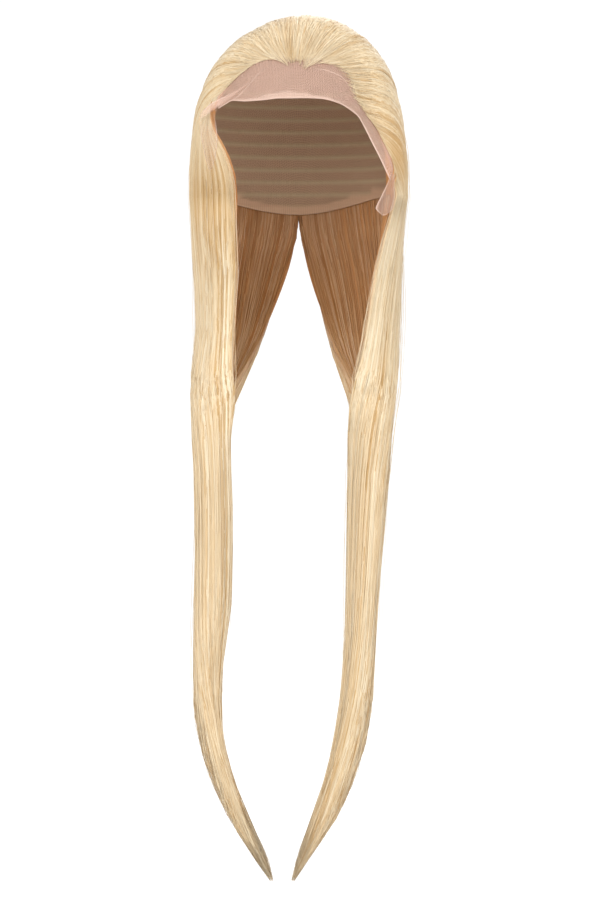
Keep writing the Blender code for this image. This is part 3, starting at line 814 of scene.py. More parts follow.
def taper(way, start, end, width, rng):
    """Radii of strands, thin at the root and at the tip."""
    size = 0.5 * width * rng.uniform(0.7, 1.3, len(start))
    level = RING_HEIGHT - (way - 1.0) * FALL_UNIT
    tip = np.clip((level - end[:, None]) / 0.10, 0.0, 1.0) ** 0.6
    root = 0.35 + 0.65 * smooth((way - start[:, None]) / 0.10)
    return size[:, None] * (0.15 + 0.85 * tip) * root


def deeper_tone_and_crease_shade(side, line, way):
    """How much darker the hair is made: deeper in colour beside the opening and at
    the roots of the centre peak, and painted shade along the creases between locks."""
    level, share = GOLDEN[side]
    beside = np.exp(-(((way - level) / 0.42) ** 2)) * (1.0 - smooth((line - share) / 0.22))
    peak = np.exp(-((way / 0.06) ** 2)) * smooth((line - 0.80) / 0.16)
    crease = 0.0
    for share, width, from_way, to_way in CREASES[side]:
        ends = smooth((way - from_way) / 0.06) * (1.0 - smooth((way - to_way) / 0.10))
        crease = crease + ends * np.exp(-(((line - share) / width) ** 2))
    return 0.48 * beside + 0.28 * peak + 0.46 * crease


def strand_values(tone, inside, way, rng):
    """Each strand's tone, how much painted shade of the inner face it takes, its
    way down, and a number of its own, drawn last."""
    thread = rng.random(len(way))
    return {"tone": np.clip(tone, 0.0, 1.0), "inside": inside, "way": way, "thread": thread}


def kind_of(kind, side):
    """The random numbers and the rows of stations of a kind of strand."""
    seed, rows = STRAND_KINDS[kind]
    return np.random.default_rng(seed + SIDES.index(side)), rows


def outer_strands(name, kind, side, count, first, last, looks):
    """Strands on the outside of one side's hair, from the lace or from under
    the strands in front of them down to the tips."""
    rng, rows = kind_of(kind, side)
    clumps = max(8, int(round(looks.clumps * (last - first))))
    share, owner = gathered(count, first, last, clumps, rng)
    late = rng.random(count) < 0.38
    start = np.where(late, rng.uniform(0.03, 0.5, count), rng.uniform(-0.020, 0.03, count))
    end = strand_ends(side, count, rng)
    high, _, out, depth, way, line = flow(side, share, start, end, rng, 0.0045, rows)
    sink = 0.4 * rng.random(clumps)[owner] + 0.6 * rng.random(count)
    below = smooth((way - 2.0) / 0.6)
    deep = np.minimum(sink[:, None] * (0.0011 + 0.0020 * below), 0.40 * depth) - 0.0003
    grown = smooth((way - start[:, None]) / 0.13)
    rise = np.where(late[:, None], np.minimum(0.003, 0.6 * depth), 0.93 * depth - deep)
    paths = high - out * (deep + (1.0 - grown) * rise)[..., None]
    radii = taper(way, start, end, looks.width, rng)
    of_clump = rng.standard_normal(clumps)[owner][:, None]
    tone = 0.58 + 0.17 * rng.standard_normal(count)[:, None]
    tone = tone + (0.12 + 0.08 * smooth((way - 1.0) / 1.2)) * of_clump
    # Darker beside the opening and at the peak's roots, painted shade along the creases between
    # locks, and darker lower down.
    tone = tone - deeper_tone_and_crease_shade(side, line, way) - 0.12 * smooth((way - 1.8) / 0.8)
    values = strand_values(tone, np.zeros_like(way), way, rng)
    return tubes(name, paths, out, radii, values)


def inner_strands(name, side, first, last, looks):
    """Strands on the inner face, from under the cap to the tips."""
    rng, rows = kind_of("inner", side)
    count = looks.inner_strands
    clumps = max(8, int(round(0.8 * looks.clumps * (last - first))))
    share, owner = gathered(count, first, last, clumps, rng)
    start = rng.uniform(0.95, 0.99, count)
    end = strand_ends(side, count, rng)
    _, low, out, depth, way, line = flow(side, share, start, end, rng, 0.010, rows)
    sink = 0.4 * rng.random(clumps)[owner] + 0.6 * rng.random(count)
    fade = smooth((way - 2.1) / 0.8)
    lift = 0.0010 * sink[:, None] - 0.0006 + 0.28 * fade * depth
    paths = low + out * lift[..., None]
    radii = taper(way, start, end, looks.width, rng)
    tone = 0.45 + 0.24 * rng.standard_normal(clumps)[owner] + 0.20 * rng.standard_normal(count)
    pale_end = 1.0 - 0.8 * smooth((way - 3.2) / 1.4)
    # Painted shade on the inner face: less where the hair is lit, lower down and near the front
    # edge, and fading at the tips.
    lit = 0.25 + 0.55 * smooth((way - 1.5) / 1.0) + 0.35 * (1.0 - smooth(line / 0.25))
    inside = np.clip(1.0 - lit * rng.uniform(0.3, 1.1, (count, 1)), 0.0, 1.0) * pale_end
    values = strand_values(tone, inside, way, rng)
    return tubes(name, paths, -out, radii, values)


def stray_strands(name, side, looks):
    """Fine hairs that stand a little off the surface, and others that leave the
    hair's front edge towards the opening."""
    rng, rows = kind_of("stray", side)
    count = looks.strays
    at_edge = (np.arange(count) % 2 == 0)[:, None]
    share = np.where(at_edge[:, 0], 0.05 * rng.random(count), rng.random(count))
    start = rng.uniform(0.05, 0.9, count)
    end = strand_ends(side, count, rng) + 0.10 * rng.random(count)
    high, _, out, depth, way, _ = flow(side, share, start, end, rng, 0.008, rows)
    where = rng.uniform(0.5, 4.0, count)[:, None]
    spread = rng.uniform(0.25, 0.8, count)[:, None]
    reach = 0.0006 + 0.0056 * rng.random(count) ** 2
    away = reach[:, None] * np.exp(-(((way - where) / spread) ** 2))
    away = away * smooth((way - start[:, None]) / 0.3)
    beside = beside_hair(side, high, out)
    along_edge = high - out * (0.35 * depth)[..., None] + beside * away[..., None]
    paths = np.where(at_edge[..., None], along_edge, high + out * (away - 0.0002)[..., None])
    radii = taper(way, start, end, 0.42 * looks.width, rng)
    # Paler than the other strands: painted light, where light shines through fine hairs.
    tone = 0.7 + 0.2 * rng.standard_normal(count)
    values = strand_values(tone, np.zeros_like(way), way, rng)
    return tubes(name, paths, out, radii, values)


def beside_hair(side, high, out):
    """Ways off the hair's front edge, towards the opening."""
    way = -sign_of(side) * np.cross(out, np.gradient(high, axis=1))
    return way / (np.linalg.norm(way, axis=-1, keepdims=True) + 1e-9)


def edge_strands(name, kind, side, share, first, count, looks):
    """Strands that cover the hair's front edge, or its edge at the back, from
    the way first on."""
    rng, rows = kind_of(kind, side)
    at = np.abs(share - 0.010 * rng.random(count))
    start = first + 0.12 * rng.random(count)
    end = strand_ends(side, count, rng)
    high, low, out, depth, way, line = flow(side, at, start, end, rng, 0.003, rows)
    beside = beside_hair(side, high, out) * (1.0 if share < 0.5 else -1.0)
    part = rng.random(count)[:, None]
    off = 0.0011 * rng.random(count)[:, None]
    paths = low + out * (part * depth)[..., None] + beside * off[..., None]
    radii = taper(way, start, end, looks.width, rng)
    tone = 0.48 + 0.20 * rng.standard_normal(count)
    tone = tone[:, None] - deeper_tone_and_crease_shade(side, line, way)
    # Painted shade on the edge strands, deeper the further into the hair they lie, lessening lower
    # down.
    inside = np.clip(1.4 - 1.3 * part, 0.0, 1.0) * (1.0 - 0.8 * smooth((way - 1.5) / 1.0))
    values = strand_values(tone, inside, way, rng)
    return tubes(name, paths, beside, radii, values)


def root_strands(name, side, looks):
    """Short fine hairs knotted in the lace along the hairline."""
    rng, _ = kind_of("hairline", side)
    count = looks.roots
    share = 0.12 + 0.88 * rng.random(count)
    start = -0.080 * rng.random(count) ** 1.8 * (1.0 - 0.6 * smooth((share - 0.78) / 0.2))
    length = rng.uniform(0.16, 0.34, count)
    f = np.linspace(0.0, 1.0, 7)[None, :]
    t = start[:, None] + length[:, None] * f
    lean = 0.014 + 0.030 * smooth((share - 0.85) / 0.15)
    line = share[:, None] + (lean * rng.standard_normal(count))[:, None] * (f - 0.25)
    line = turned_back(line)
    high, low = crown_faces(side, line, t)
    out, depth = outward(high, low)
    grown = smooth(f / 0.75)
    paths = low + out * (0.0002 + (0.94 * depth - 0.0002) * grown)[..., None]
    swell = 0.35 + 0.65 * np.sin(math.pi * np.clip(f, 0.02, 0.98))
    radii = 0.30 * looks.width * swell * np.ones((count, 1))
    tone = 0.62 + 0.2 * rng.standard_normal(count)
    tone = tone[:, None] - deeper_tone_and_crease_shade(side, line, t)
    values = strand_values(tone, np.zeros_like(t), t, rng)
    return tubes(name, paths, out, radii, values)


def hair_bed(name, side, first, last):
    """The closed mass of hair under the strands between two shares."""
    columns = max(12, int(round(76 * (last - first))))
    share = np.linspace(first, last, columns)[None, :]
    t = (BED_START + (1.0 - BED_START) * np.linspace(0.0, 1.0, 20) ** 1.15)[:, None]
    bottom = SECTIONS[side][-1]["z"] / 1000.0 + BED_SHORT
    closing = np.linspace(RING_HEIGHT, CLOSED_HEIGHT, 24)[1:]
    z = np.concatenate([closing, np.linspace(CLOSED_HEIGHT, bottom, 20)[1:]])[:, None]
    high_c, low_c = crown_faces(side, share, t)
    high_f, low_f = fall_faces(side, share, z)
    high = np.concatenate([high_c, high_f])
    low = np.concatenate([low_c, low_f])
    out, depth = outward(high, low)
    way = np.concatenate([t, 1.0 + (RING_HEIGHT - z) / FALL_UNIT])
    way = np.broadcast_to(way, depth.shape)
    below = smooth((way - 1.4) / 0.5)
    sink = np.minimum(0.0012 + 0.0020 * below, 0.40 * depth)
    level = np.broadcast_to(np.concatenate([np.zeros_like(t), z]), depth.shape)
    sink = sink + (0.45 * depth - sink) * smooth((bottom + 0.05 - level) / 0.05)
    root = 1.0 - smooth((way - BED_START) / 0.10)
    sink = sink + root * np.maximum(0.0, 0.88 * depth - sink)
    outer = high - out * sink[..., None]
    inner = low + out * np.minimum(0.0006, 0.05 * depth)[..., None]
    across = np.broadcast_to(share, depth.shape)
    # Painted shade on the inner face of the hair mass, lessening lower down.
    fade = 1.0 - 0.6 * smooth((way - 1.6) / 1.2) - 0.35 * smooth((way - 3.2) / 1.4)
    attributes = {
        "across": (across, across + 3.0),
        "way": (way, way),
        "tone": (deeper_tone_and_crease_shade(side, across, way), np.zeros_like(way)),
        "inside": (np.zeros_like(way), fade),
    }
    return shell(name, outer, inner, attributes)


def socket(group, name, kind, default=None, direction="INPUT"):
    """A named input or output of a shader node group."""
    made = group.interface.new_socket(name=name, in_out=direction, socket_type=kind)
    if default is not None:
        made.default_value = default
    return made


def node(tree, kind, **settings):
    """A new node with its settings."""
    made = tree.nodes.new(kind)
    for key, value in settings.items():
        setattr(made, key, value)
    return made


def math_node(tree, operation, first, second=None, clamp=False):
    """A Math node whose inputs are sockets or numbers. Returns its output."""
    made = node(tree, "ShaderNodeMath", operation=operation, use_clamp=clamp)
    for place, value in enumerate((first, second)):
        if value is None:
            continue
        if isinstance(value, bpy.types.NodeSocket):
            tree.links.new(value, made.inputs[place])
        else:
            made.inputs[place].default_value = value
    return made.outputs[0]


def mix_colour(tree, factor, first, second, blend="MIX"):
    """A colour Mix node whose inputs are sockets or values. Returns its output."""
    made = node(tree, "ShaderNodeMix", data_type="RGBA", blend_type=blend)
    for place, value in ((0, factor), (6, first), (7, second)):
        if isinstance(value, bpy.types.NodeSocket):
            tree.links.new(value, made.inputs[place])
        else:
            made.inputs[place].default_value = value
    return made.outputs[2]


def attribute(tree, name):
    """One of the mesh's own values over its surface."""
    return node(tree, "ShaderNodeAttribute", attribute_name=name).outputs["Fac"]


def noise(tree, vector, scale, detail=2.0, roughness=0.5):
    """Soft noise from 0 to 1 at a vector."""
    made = node(tree, "ShaderNodeTexNoise")
    tree.links.new(vector, made.inputs["Vector"])
    made.inputs["Scale"].default_value = scale
    made.inputs["Detail"].default_value = detail
    made.inputs["Roughness"].default_value = roughness
    return made.outputs["Fac"]


def make_streak_group():
    """Fine streaks along hair: across counts strands and way runs down them."""
    group = bpy.data.node_groups.new("hair_streaks", "ShaderNodeTree")
    socket(group, "Across", "NodeSocketFloat", 0.0)
    socket(group, "Way", "NodeSocketFloat", 0.0)
    socket(group, "Fine", "NodeSocketFloat", 1.0)
    socket(group, "Streak", "NodeSocketFloat", direction="OUTPUT")
    socket(group, "Lock", "NodeSocketFloat", direction="OUTPUT")
    source = node(group, "NodeGroupInput")
    target = node(group, "NodeGroupOutput")
    fine = math_node(group, "MULTIPLY", source.outputs["Across"], source.outputs["Fine"])
    slow = math_node(group, "MULTIPLY", source.outputs["Way"], 1.4)
    vector = node(group, "ShaderNodeCombineXYZ")
    group.links.new(fine, vector.inputs["X"])
    group.links.new(slow, vector.inputs["Y"])
    streak = noise(group, vector.outputs[0], 1.0, 3.0, 0.65)
    broad = node(group, "ShaderNodeCombineXYZ")
    group.links.new(math_node(group, "MULTIPLY", fine, 0.12), broad.inputs["X"])
    group.links.new(math_node(group, "MULTIPLY", slow, 0.5), broad.inputs["Y"])
    lock = noise(group, broad.outputs[0], 1.0, 2.0, 0.5)
    group.links.new(streak, target.inputs["Streak"])
    group.links.new(lock, target.inputs["Lock"])
    return group


def make_net_group():
    """A fine net of round holes over a surface, from its place in metres."""
    group = bpy.data.node_groups.new("sheer_net", "ShaderNodeTree")
    socket(group, "Across", "NodeSocketFloat", 0.0)
    socket(group, "Along", "NodeSocketFloat", 0.0)
    socket(group, "Holes per metre", "NodeSocketFloat", 900.0)
    socket(group, "Thread width", "NodeSocketFloat", 0.12)
    socket(group, "Thread", "NodeSocketFloat", direction="OUTPUT")
    source = node(group, "NodeGroupInput")
    target = node(group, "NodeGroupOutput")
    place = node(group, "ShaderNodeCombineXYZ")
    group.links.new(source.outputs["Across"], place.inputs["X"])
    group.links.new(source.outputs["Along"], place.inputs["Y"])
    cell = node(group, "ShaderNodeTexVoronoi", voronoi_dimensions="2D", feature="DISTANCE_TO_EDGE")
    group.links.new(place.outputs[0], cell.inputs["Vector"])
    group.links.new(source.outputs["Holes per metre"], cell.inputs["Scale"])
    cell.inputs["Randomness"].default_value = 0.45
    inside = math_node(group, "DIVIDE", cell.outputs["Distance"], source.outputs["Thread width"])
    thread = math_node(group, "SUBTRACT", 1.0, inside, clamp=True)
    group.links.new(thread, target.inputs["Thread"])
    return group


def new_material(name, roughness):
    """A material with its tree and its Principled shader."""
    material = bpy.data.materials.new(name)
    material.use_nodes = True
    tree = material.node_tree
    shader = tree.nodes["Principled BSDF"]
    shader.inputs["Roughness"].default_value = roughness
    return material, tree, shader


def add_group(tree, name, **inputs):
    """One of the node groups, with its inputs set or linked."""
    made = node(tree, "ShaderNodeGroup", node_tree=bpy.data.node_groups[name])
    for key, value in inputs.items():
        place = made.inputs[key.replace("_", " ")]
        if isinstance(value, bpy.types.NodeSocket):
            tree.links.new(value, place)
        else:
            place.default_value = value
    return made


def add_bump(tree, shader, height, strength, distance):
    """Low relief from a height, into the shader's Normal."""
    bump = node(tree, "ShaderNodeBump")
    bump.inputs["Strength"].default_value = strength
    bump.inputs["Distance"].default_value = distance
    tree.links.new(height, bump.inputs["Height"])
    tree.links.new(bump.outputs[0], shader.inputs["Normal"])


def colour_ramp(tree, value, stops):
    """Colours from (place, colour) stops by a value from 0 to 1."""
    ramp = node(tree, "ShaderNodeValToRGB")
    tree.links.new(value, ramp.inputs[0])
    elements = ramp.color_ramp.elements
    elements[0].position, elements[0].color = stops[0]
    elements[1].position, elements[1].color = stops[-1]
    for place, colour in stops[1:-1]:
        elements.new(place).color = colour
    return ramp.outputs[0]


def hair_material(name, looks, strands):
    """Blonde hair: pale, gold and deeper strands, with painted shade on the inner face."""
    material, tree, shader = new_material(name, looks.roughness)
    way = attribute(tree, "way")
    if strands:
        across = math_node(tree, "MULTIPLY", attribute(tree, "thread"), STRAND_STREAKS)
        group = add_group(tree, "hair_streaks", Across=across, Way=way, Fine=1.0)
        streak = math_node(tree, "SUBTRACT", group.outputs["Streak"], 0.5)
        value = math_node(tree, "MULTIPLY", streak, 0.6)
        value = math_node(tree, "ADD", value, attribute(tree, "tone"), clamp=True)
        facing = node(tree, "ShaderNodeAttribute", attribute_name="facing")
        turned = node(tree, "ShaderNodeVectorTransform", vector_type="NORMAL")
        turned.convert_from = "OBJECT"
        turned.convert_to = "WORLD"
        tree.links.new(facing.outputs["Vector"], turned.inputs[0])
        tree.links.new(turned.outputs[0], shader.inputs["Normal"])
    else:
        across = attribute(tree, "across")
        group = add_group(tree, "hair_streaks", Across=across, Way=way, Fine=MASS_STREAKS)
        streak = math_node(tree, "SUBTRACT", group.outputs["Streak"], 0.5)
        lock = math_node(tree, "SUBTRACT", group.outputs["Lock"], 0.5)
        value = math_node(tree, "MULTIPLY", streak, 1.0)
        value = math_node(tree, "ADD", value, math_node(tree, "MULTIPLY", lock, 0.4))
        value = math_node(tree, "SUBTRACT", value, attribute(tree, "tone"))
        value = math_node(tree, "ADD", value, 0.48, clamp=True)
        add_bump(tree, shader, group.outputs["Streak"], 0.5, 0.0005)
    base = colour_ramp(tree, value, ((0.0, looks.dark), (0.45, looks.middle), (1.0, looks.light)))
    # Painted shade: the inner face colour is multiplied in where the inside attribute is high.
    shaded = mix_colour(tree, 1.0, base, looks.inner, "MULTIPLY")
    base = mix_colour(tree, attribute(tree, "inside"), base, shaded)
    tree.links.new(base, shader.inputs["Base Color"])
    return material


def tinted(colour, factor):
    """The colour made lighter or darker."""
    return tuple(min(1.0, factor * c) for c in colour[:3]) + (1.0,)


def lace_material(name, colour, cover, mesh, rim):
    """Sheer lace: cover shows between its threads, mesh on them, and rim along
    a folded edge or a wrinkle. Where veil falls to 0 it can't be seen."""
    material, tree, shader = new_material(name, 0.55)
    group = add_group(
        tree,
        "sheer_net",
        Across=attribute(tree, "across"),
        Along=attribute(tree, "along"),
        Holes_per_metre=LACE_HOLES,
        Thread_width=0.15,
    )
    thread = math_node(tree, "MULTIPLY", group.outputs["Thread"], 1.6, clamp=True)
    off = math_node(tree, "ABSOLUTE", attribute(tree, "off_wrinkle"))
    off = math_node(tree, "DIVIDE", off, WRINKLE_HALF_WIDTH)
    near = math_node(tree, "SUBTRACT", 1.0, off, clamp=True)
    wrinkle = math_node(tree, "MULTIPLY", near, attribute(tree, "wrinkle"))
    rim_edge = attribute(tree, "edge")
    edge = math_node(tree, "MAXIMUM", rim_edge, math_node(tree, "MULTIPLY", wrinkle, 0.8))
    alpha = math_node(tree, "MAXIMUM", math_node(tree, "MULTIPLY", thread, mesh), cover)
    alpha = math_node(tree, "MAXIMUM", math_node(tree, "MULTIPLY", edge, rim), alpha)
    alpha = math_node(tree, "MULTIPLY", alpha, attribute(tree, "veil"))
    place = node(tree, "ShaderNodeTexCoord").outputs["Object"]
    cloud = noise(tree, place, 90.0, 3.0)
    base = mix_colour(tree, cloud, tinted(colour, 0.85), tinted(colour, 1.05))
    # Rims, folds and wrinkles turn pale: the lace doubled there, with a painted highlight.
    base = mix_colour(tree, edge, base, HEM_AND_SHEEN_COLOUR)
    tree.links.new(base, shader.inputs["Base Color"])
    tree.links.new(alpha, shader.inputs["Alpha"])
    add_bump(tree, shader, thread, 0.4, 0.0003)
    return material


def cap_material(name, colour, weft):
    """The cap's net with rows of sewn hair at the back and a stitched hem."""
    material, tree, shader = new_material(name, 0.85)
    group = add_group(
        tree,
        "sheer_net",
        Across=attribute(tree, "across"),
        Along=attribute(tree, "along"),
        Holes_per_metre=NET_HOLES,
        Thread_width=0.22,
    )
    thread = group.outputs["Thread"]
    place = node(tree, "ShaderNodeTexCoord").outputs["Object"]
    cloud = noise(tree, place, 70.0, 3.0)
    holes = mix_colour(tree, cloud, tinted(colour, 0.62), tinted(colour, 0.80))
    base = mix_colour(tree, thread, holes, tinted(colour, 1.05))
    row = math_node(tree, "DIVIDE", attribute(tree, "level"), SEWN_ROW)
    row = math_node(tree, "SUBTRACT", math_node(tree, "FRACT", row), 0.5)
    row = math_node(tree, "ABSOLUTE", row)
    row = math_node(tree, "SUBTRACT", 1.0, math_node(tree, "MULTIPLY", row, 3.6), clamp=True)
    row = math_node(tree, "MULTIPLY", row, attribute(tree, "rows"))
    strands = node(tree, "ShaderNodeCombineXYZ")
    for key, times, way in (("across", SEWN_HAIRS, "X"), ("level", 60.0, "Y")):
        run = math_node(tree, "MULTIPLY", attribute(tree, key), times)
        tree.links.new(run, strands.inputs[way])
    fine = noise(tree, strands.outputs[0], 1.0, 2.0)
    sewn = mix_colour(tree, fine, tinted(weft, 0.42), tinted(weft, 0.75))
    base = mix_colour(tree, row, base, sewn)
    hem = attribute(tree, "edge")
    stitch = math_node(tree, "MULTIPLY", attribute(tree, "across"), HEM_STITCHES)
    stitch = math_node(tree, "FRACT", stitch)
    stitch = math_node(tree, "GREATER_THAN", stitch, 0.5)
    faint = math_node(tree, "MULTIPLY", stitch, 0.25)
    band = mix_colour(tree, faint, tinted(colour, 1.25), tinted(colour, 0.7))
    base = mix_colour(tree, hem, base, band)
    tree.links.new(base, shader.inputs["Base Color"])
    height = math_node(tree, "ADD", thread, math_node(tree, "MULTIPLY", row, 3.0))
    height = math_node(tree, "ADD", height, math_node(tree, "MULTIPLY", stitch, hem))
    add_bump(tree, shader, height, 0.5, 0.0004)
    return material


def colour_setting(name, text, default):
    """A colour that can be changed in the sidebar."""
    return bpy.props.FloatVectorProperty(
        name=name, description=text, default=default + (1.0,), size=4, subtype="COLOR"
    )


def finish_piece(obj, material, slot, *nodes):
    """Gives a piece its material and body, and hides the solids that it replaces. Its slot is not
    used.
    """
    obj.data.materials.append(material)
    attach(obj, "root")
    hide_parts(*nodes)
    return obj


class WigHair(bpy.types.PropertyGroup):
    """Sizes and colours of the hair."""

    strands: bpy.props.IntProperty(
        name="Strands a side", description="Strands on the outside of each side", default=2080
    )
    inner_strands: bpy.props.IntProperty(
        name="Inner strands a side", description="Strands on each side's inner face", default=340
    )
    roots: bpy.props.IntProperty(
        name="Hairline hairs a side", description="Short hairs knotted in the lace", default=720
    )
    strays: bpy.props.IntProperty(
        name="Stray hairs a side", description="Fine hairs that stand off the surface", default=210
    )
    clumps: bpy.props.IntProperty(
        name="Clumps", description="Fine clumps across each side", default=90
    )
    width: bpy.props.FloatProperty(
        name="Strand width",
        description="Width of a strand",
        default=0.00078,
        subtype="DISTANCE",
        unit="LENGTH",
    )
    roughness: bpy.props.FloatProperty(
        name="Roughness",
        description="Roughness of the hair's gloss",
        default=0.42,
        min=0.0,
        max=1.0,
        subtype="FACTOR",
    )
    light: colour_setting("Light", "Palest strands", (0.90, 0.775, 0.57))
    middle: colour_setting("Middle", "Most strands", (0.80, 0.625, 0.39))
    dark: colour_setting("Dark", "Deepest strands", (0.60, 0.375, 0.155))
    # The inner face colour is painted shade, multiplied over the hair's inner face.
    inner: colour_setting("Inner face", "Shade of the hair's inner face", (0.70, 0.43, 0.26))


class WigCap(bpy.types.PropertyGroup):
    """Sizes and colours of the cap, the lace and the tabs."""

    net: colour_setting("Cap net", "Colour of the cap's net", (0.50, 0.33, 0.215))
    lace: colour_setting("Lace", "Colour of the sheer lace", (0.89, 0.60, 0.48))
    cover: bpy.props.FloatProperty(
        name="Lace cover",
        description="How much shows between the lace's threads",
        default=0.12,
        min=0.0,
        max=1.0,
        subtype="FACTOR",
    )


def add_floor(context):
    """A wide pale floor below the wig, for the picture only."""
    bpy.ops.mesh.primitive_plane_add(size=24.0, location=(0.0, 6.0, FLOOR_LEVEL))
    floor = context.active_object
    floor.name = "floor"
    material, _, shader = new_material("floor_white", 0.8)
    shader.inputs["Base Color"].default_value = (FLOOR_GREY, FLOOR_GREY, FLOOR_GREY, 1.0)
    shader.inputs["Emission Color"].default_value = WHITE
    shader.inputs["Emission Strength"].default_value = FLOOR_GLOW
    floor.data.materials.append(material)


def add_world(scene):
    """Plain white where the camera looks past the floor, and soft light from all round."""
    world = bpy.data.worlds.new("studio_white")
    world.use_nodes = True
    tree = world.node_tree
    for old in list(tree.nodes):
        tree.nodes.remove(old)
    target = node(tree, "ShaderNodeOutputWorld")
    seen = node(tree, "ShaderNodeBackground")
    seen.inputs["Color"].default_value = WHITE
    seen.inputs["Strength"].default_value = SEEN_WHITE
    light = node(tree, "ShaderNodeBackground")
    light.inputs["Strength"].default_value = WORLD_LIGHT
    light.inputs["Color"].default_value = (1.0, 0.99, 0.97, 1.0)
    mixed = node(tree, "ShaderNodeMixShader")
    rays = node(tree, "ShaderNodeLightPath")
    tree.links.new(rays.outputs["Is Camera Ray"], mixed.inputs[0])
    tree.links.new(light.outputs[0], mixed.inputs[1])
    tree.links.new(seen.outputs[0], mixed.inputs[2])
    tree.links.new(mixed.outputs[0], target.inputs["Surface"])
    scene.world = world


def add_lights(scene):
    """The studio lights, each a soft panel turned to its aim."""
    for name, place, aim, size, power in STUDIO_LIGHTS:
        data = bpy.data.lights.new(name, "AREA")
        data.shape = "RECTANGLE"
        data.size, data.size_y = size
        data.energy = power
        lamp = bpy.data.objects.new(name, data)
        lamp.location = place
        way = Vector(aim) - Vector(place)
        lamp.rotation_euler = way.to_track_quat("-Z", "Y").to_euler()
        scene.collection.objects.link(lamp)


def add_camera(scene):
    """The camera, from where the wig was seen."""
    data = bpy.data.cameras.new("camera")
    data.lens = CAMERA_LENS
    data.sensor_width = CAMERA_SENSOR
    data.sensor_fit = "AUTO"
    camera = bpy.data.objects.new("camera", data)
    camera.location = CAMERA_PLACE
    camera.rotation_euler = (math.radians(90.0 - CAMERA_TILT), 0.0, 0.0)
    scene.collection.objects.link(camera)
    scene.camera = camera


class WIG_OT_stage(bpy.types.Operator):
    """Add the pale floor, soft studio lights and the camera"""

    bl_idname = "wig.stage"
    bl_label = "Stage"

    def execute(self, context):
        scene = context.scene
        scene.view_settings.view_transform = "Standard"
        add_floor(context)
        add_world(scene)
        add_lights(scene)
        add_camera(scene)
        return {"FINISHED"}


def add_cap(cap, hair):
    """The thin net dome that the hair is sewn to, with its hem at the nape."""
    columns = [("left", s) for s in np.linspace(0.34, 1.0, 40)]
    columns += [("right", s) for s in np.linspace(1.0, 0.27, 44)[1:]]
    t = np.linspace(0.06, 1.0, 34)
    drop = np.linspace(0.0, 1.0, 7)[1:]
    lines = []
    for side, share in columns:
        nape = NAPE_DROP * float(smooth((share - 0.45) / 0.55))
        above = seat_point(side, share, t, CAP_WALL)
        down = np.array([0.0, 0.0, 1.0]) * drop[:, None] * nape
        below = seat_point(side, share, 1.0, CAP_WALL) - down
        pull = 1.0 - 0.035 * drop * nape / NAPE_DROP
        below[:, :2] *= pull[:, None]
        lines.append(np.concatenate([above, below]))
    outer = np.stack(lines, axis=1)
    inner = CAP_MIDDLE + (outer - CAP_MIDDLE) * (1.0 - CAP_THICKNESS / CAP_RADIUS)
    across = np.linspace(0.0, 0.42, len(columns))[None, :]
    along = travelled(outer)
    hem = smooth((along - along[-1] + HEM_WIDTH) / 0.0015)
    level = outer[..., 2]
    back = smooth((outer[..., 1] + 0.035) / 0.02) * smooth((-0.042 - level) / 0.01)
    attributes = both(edge=hem, across=across, along=along, level=level, rows=back)
    obj = shell("cap_net", outer, inner, attributes)
    material = cap_material("cap_net_nude", tuple(cap.net), tuple(hair.middle))
    finish_piece(obj, material, "cap", "wig_cap")


class WIG_OT_cap(bpy.types.Operator):
    """Add the net cap under the hair"""

    bl_idname = "wig.cap"
    bl_label = "Cap"

    def execute(self, context):
        add_cap(context.scene.wig_cap, context.scene.wig_hair)
        return {"FINISHED"}


def add_lace_front(cap):
    """The sheer lace over the forehead and temples, stretched on the cap."""
    stations = [("left", s) for s in np.linspace(0.10, 1.0, 56)]
    stations += [("right", s) for s in np.linspace(1.0, 0.04, 60)[1:]]
    under = np.linspace(0.16, 0.0, 7)[:-1]
    f = np.linspace(0.0, 1.0, 20)
    lines = []
    for side, share in stations:
        root = seat_point(side, share, 0.0, LACE_SEAT)
        edge = np.array([read(LACE_EDGE[side], "share", share, k) for k in "xyz"]) / 1000.0
        run = np.linalg.norm(edge - root)
        line = root + (edge - root) * f[:, None]
        way = np.stack([line[:, 0] / CAP_HALF_WIDTH, line[:, 1] / CAP_HALF_DEPTH], -1)
        way /= np.linalg.norm(way, axis=-1, keepdims=True)
        line[:, :2] += (0.06 * run * np.sin(math.pi * f))[:, None] * way
        lines.append(np.concatenate([seat_point(side, share, under, LACE_SEAT), line]))
    outer = np.stack(lines, axis=1)
    inner = CAP_MIDDLE + (outer - CAP_MIDDLE) * (1.0 - LACE_THICKNESS / CAP_RADIUS)
    along = travelled(outer)
    across = travelled(outer[len(under)])[None, :]
    from_rim = along[-1] - along
    x = outer[-1:, :, 0]
    hem = 0.0024 + 0.0052 * np.exp(-(((x + 0.012) / 0.028) ** 2))
    edge = 0.55 * smooth((hem - from_rim) / 0.0012)
    edge = edge + 0.45 * smooth((0.0016 - from_rim) / 0.0010)
    down, clear = (
        np.array([read(LACE_WRINKLES[side], "share", share, key) for side, share in stations])
        for key in ("down", "clear")
    )
    length = along[-1] - along[len(under)]
    off_wrinkle = along - along[len(under)] - (down * length)[None, :]
    attributes = both(edge=edge, across=across, along=along, veil=np.ones_like(edge))
    attributes.update(both(off_wrinkle=off_wrinkle, wrinkle=clear[None, :]))
    obj = shell("lace_front_sheet", outer, inner, attributes)
    material = lace_material("lace_sheer", tuple(cap.lace), cap.cover, *FRONT_SHOWS)
    finish_piece(obj, material, "lace", "lace_front")


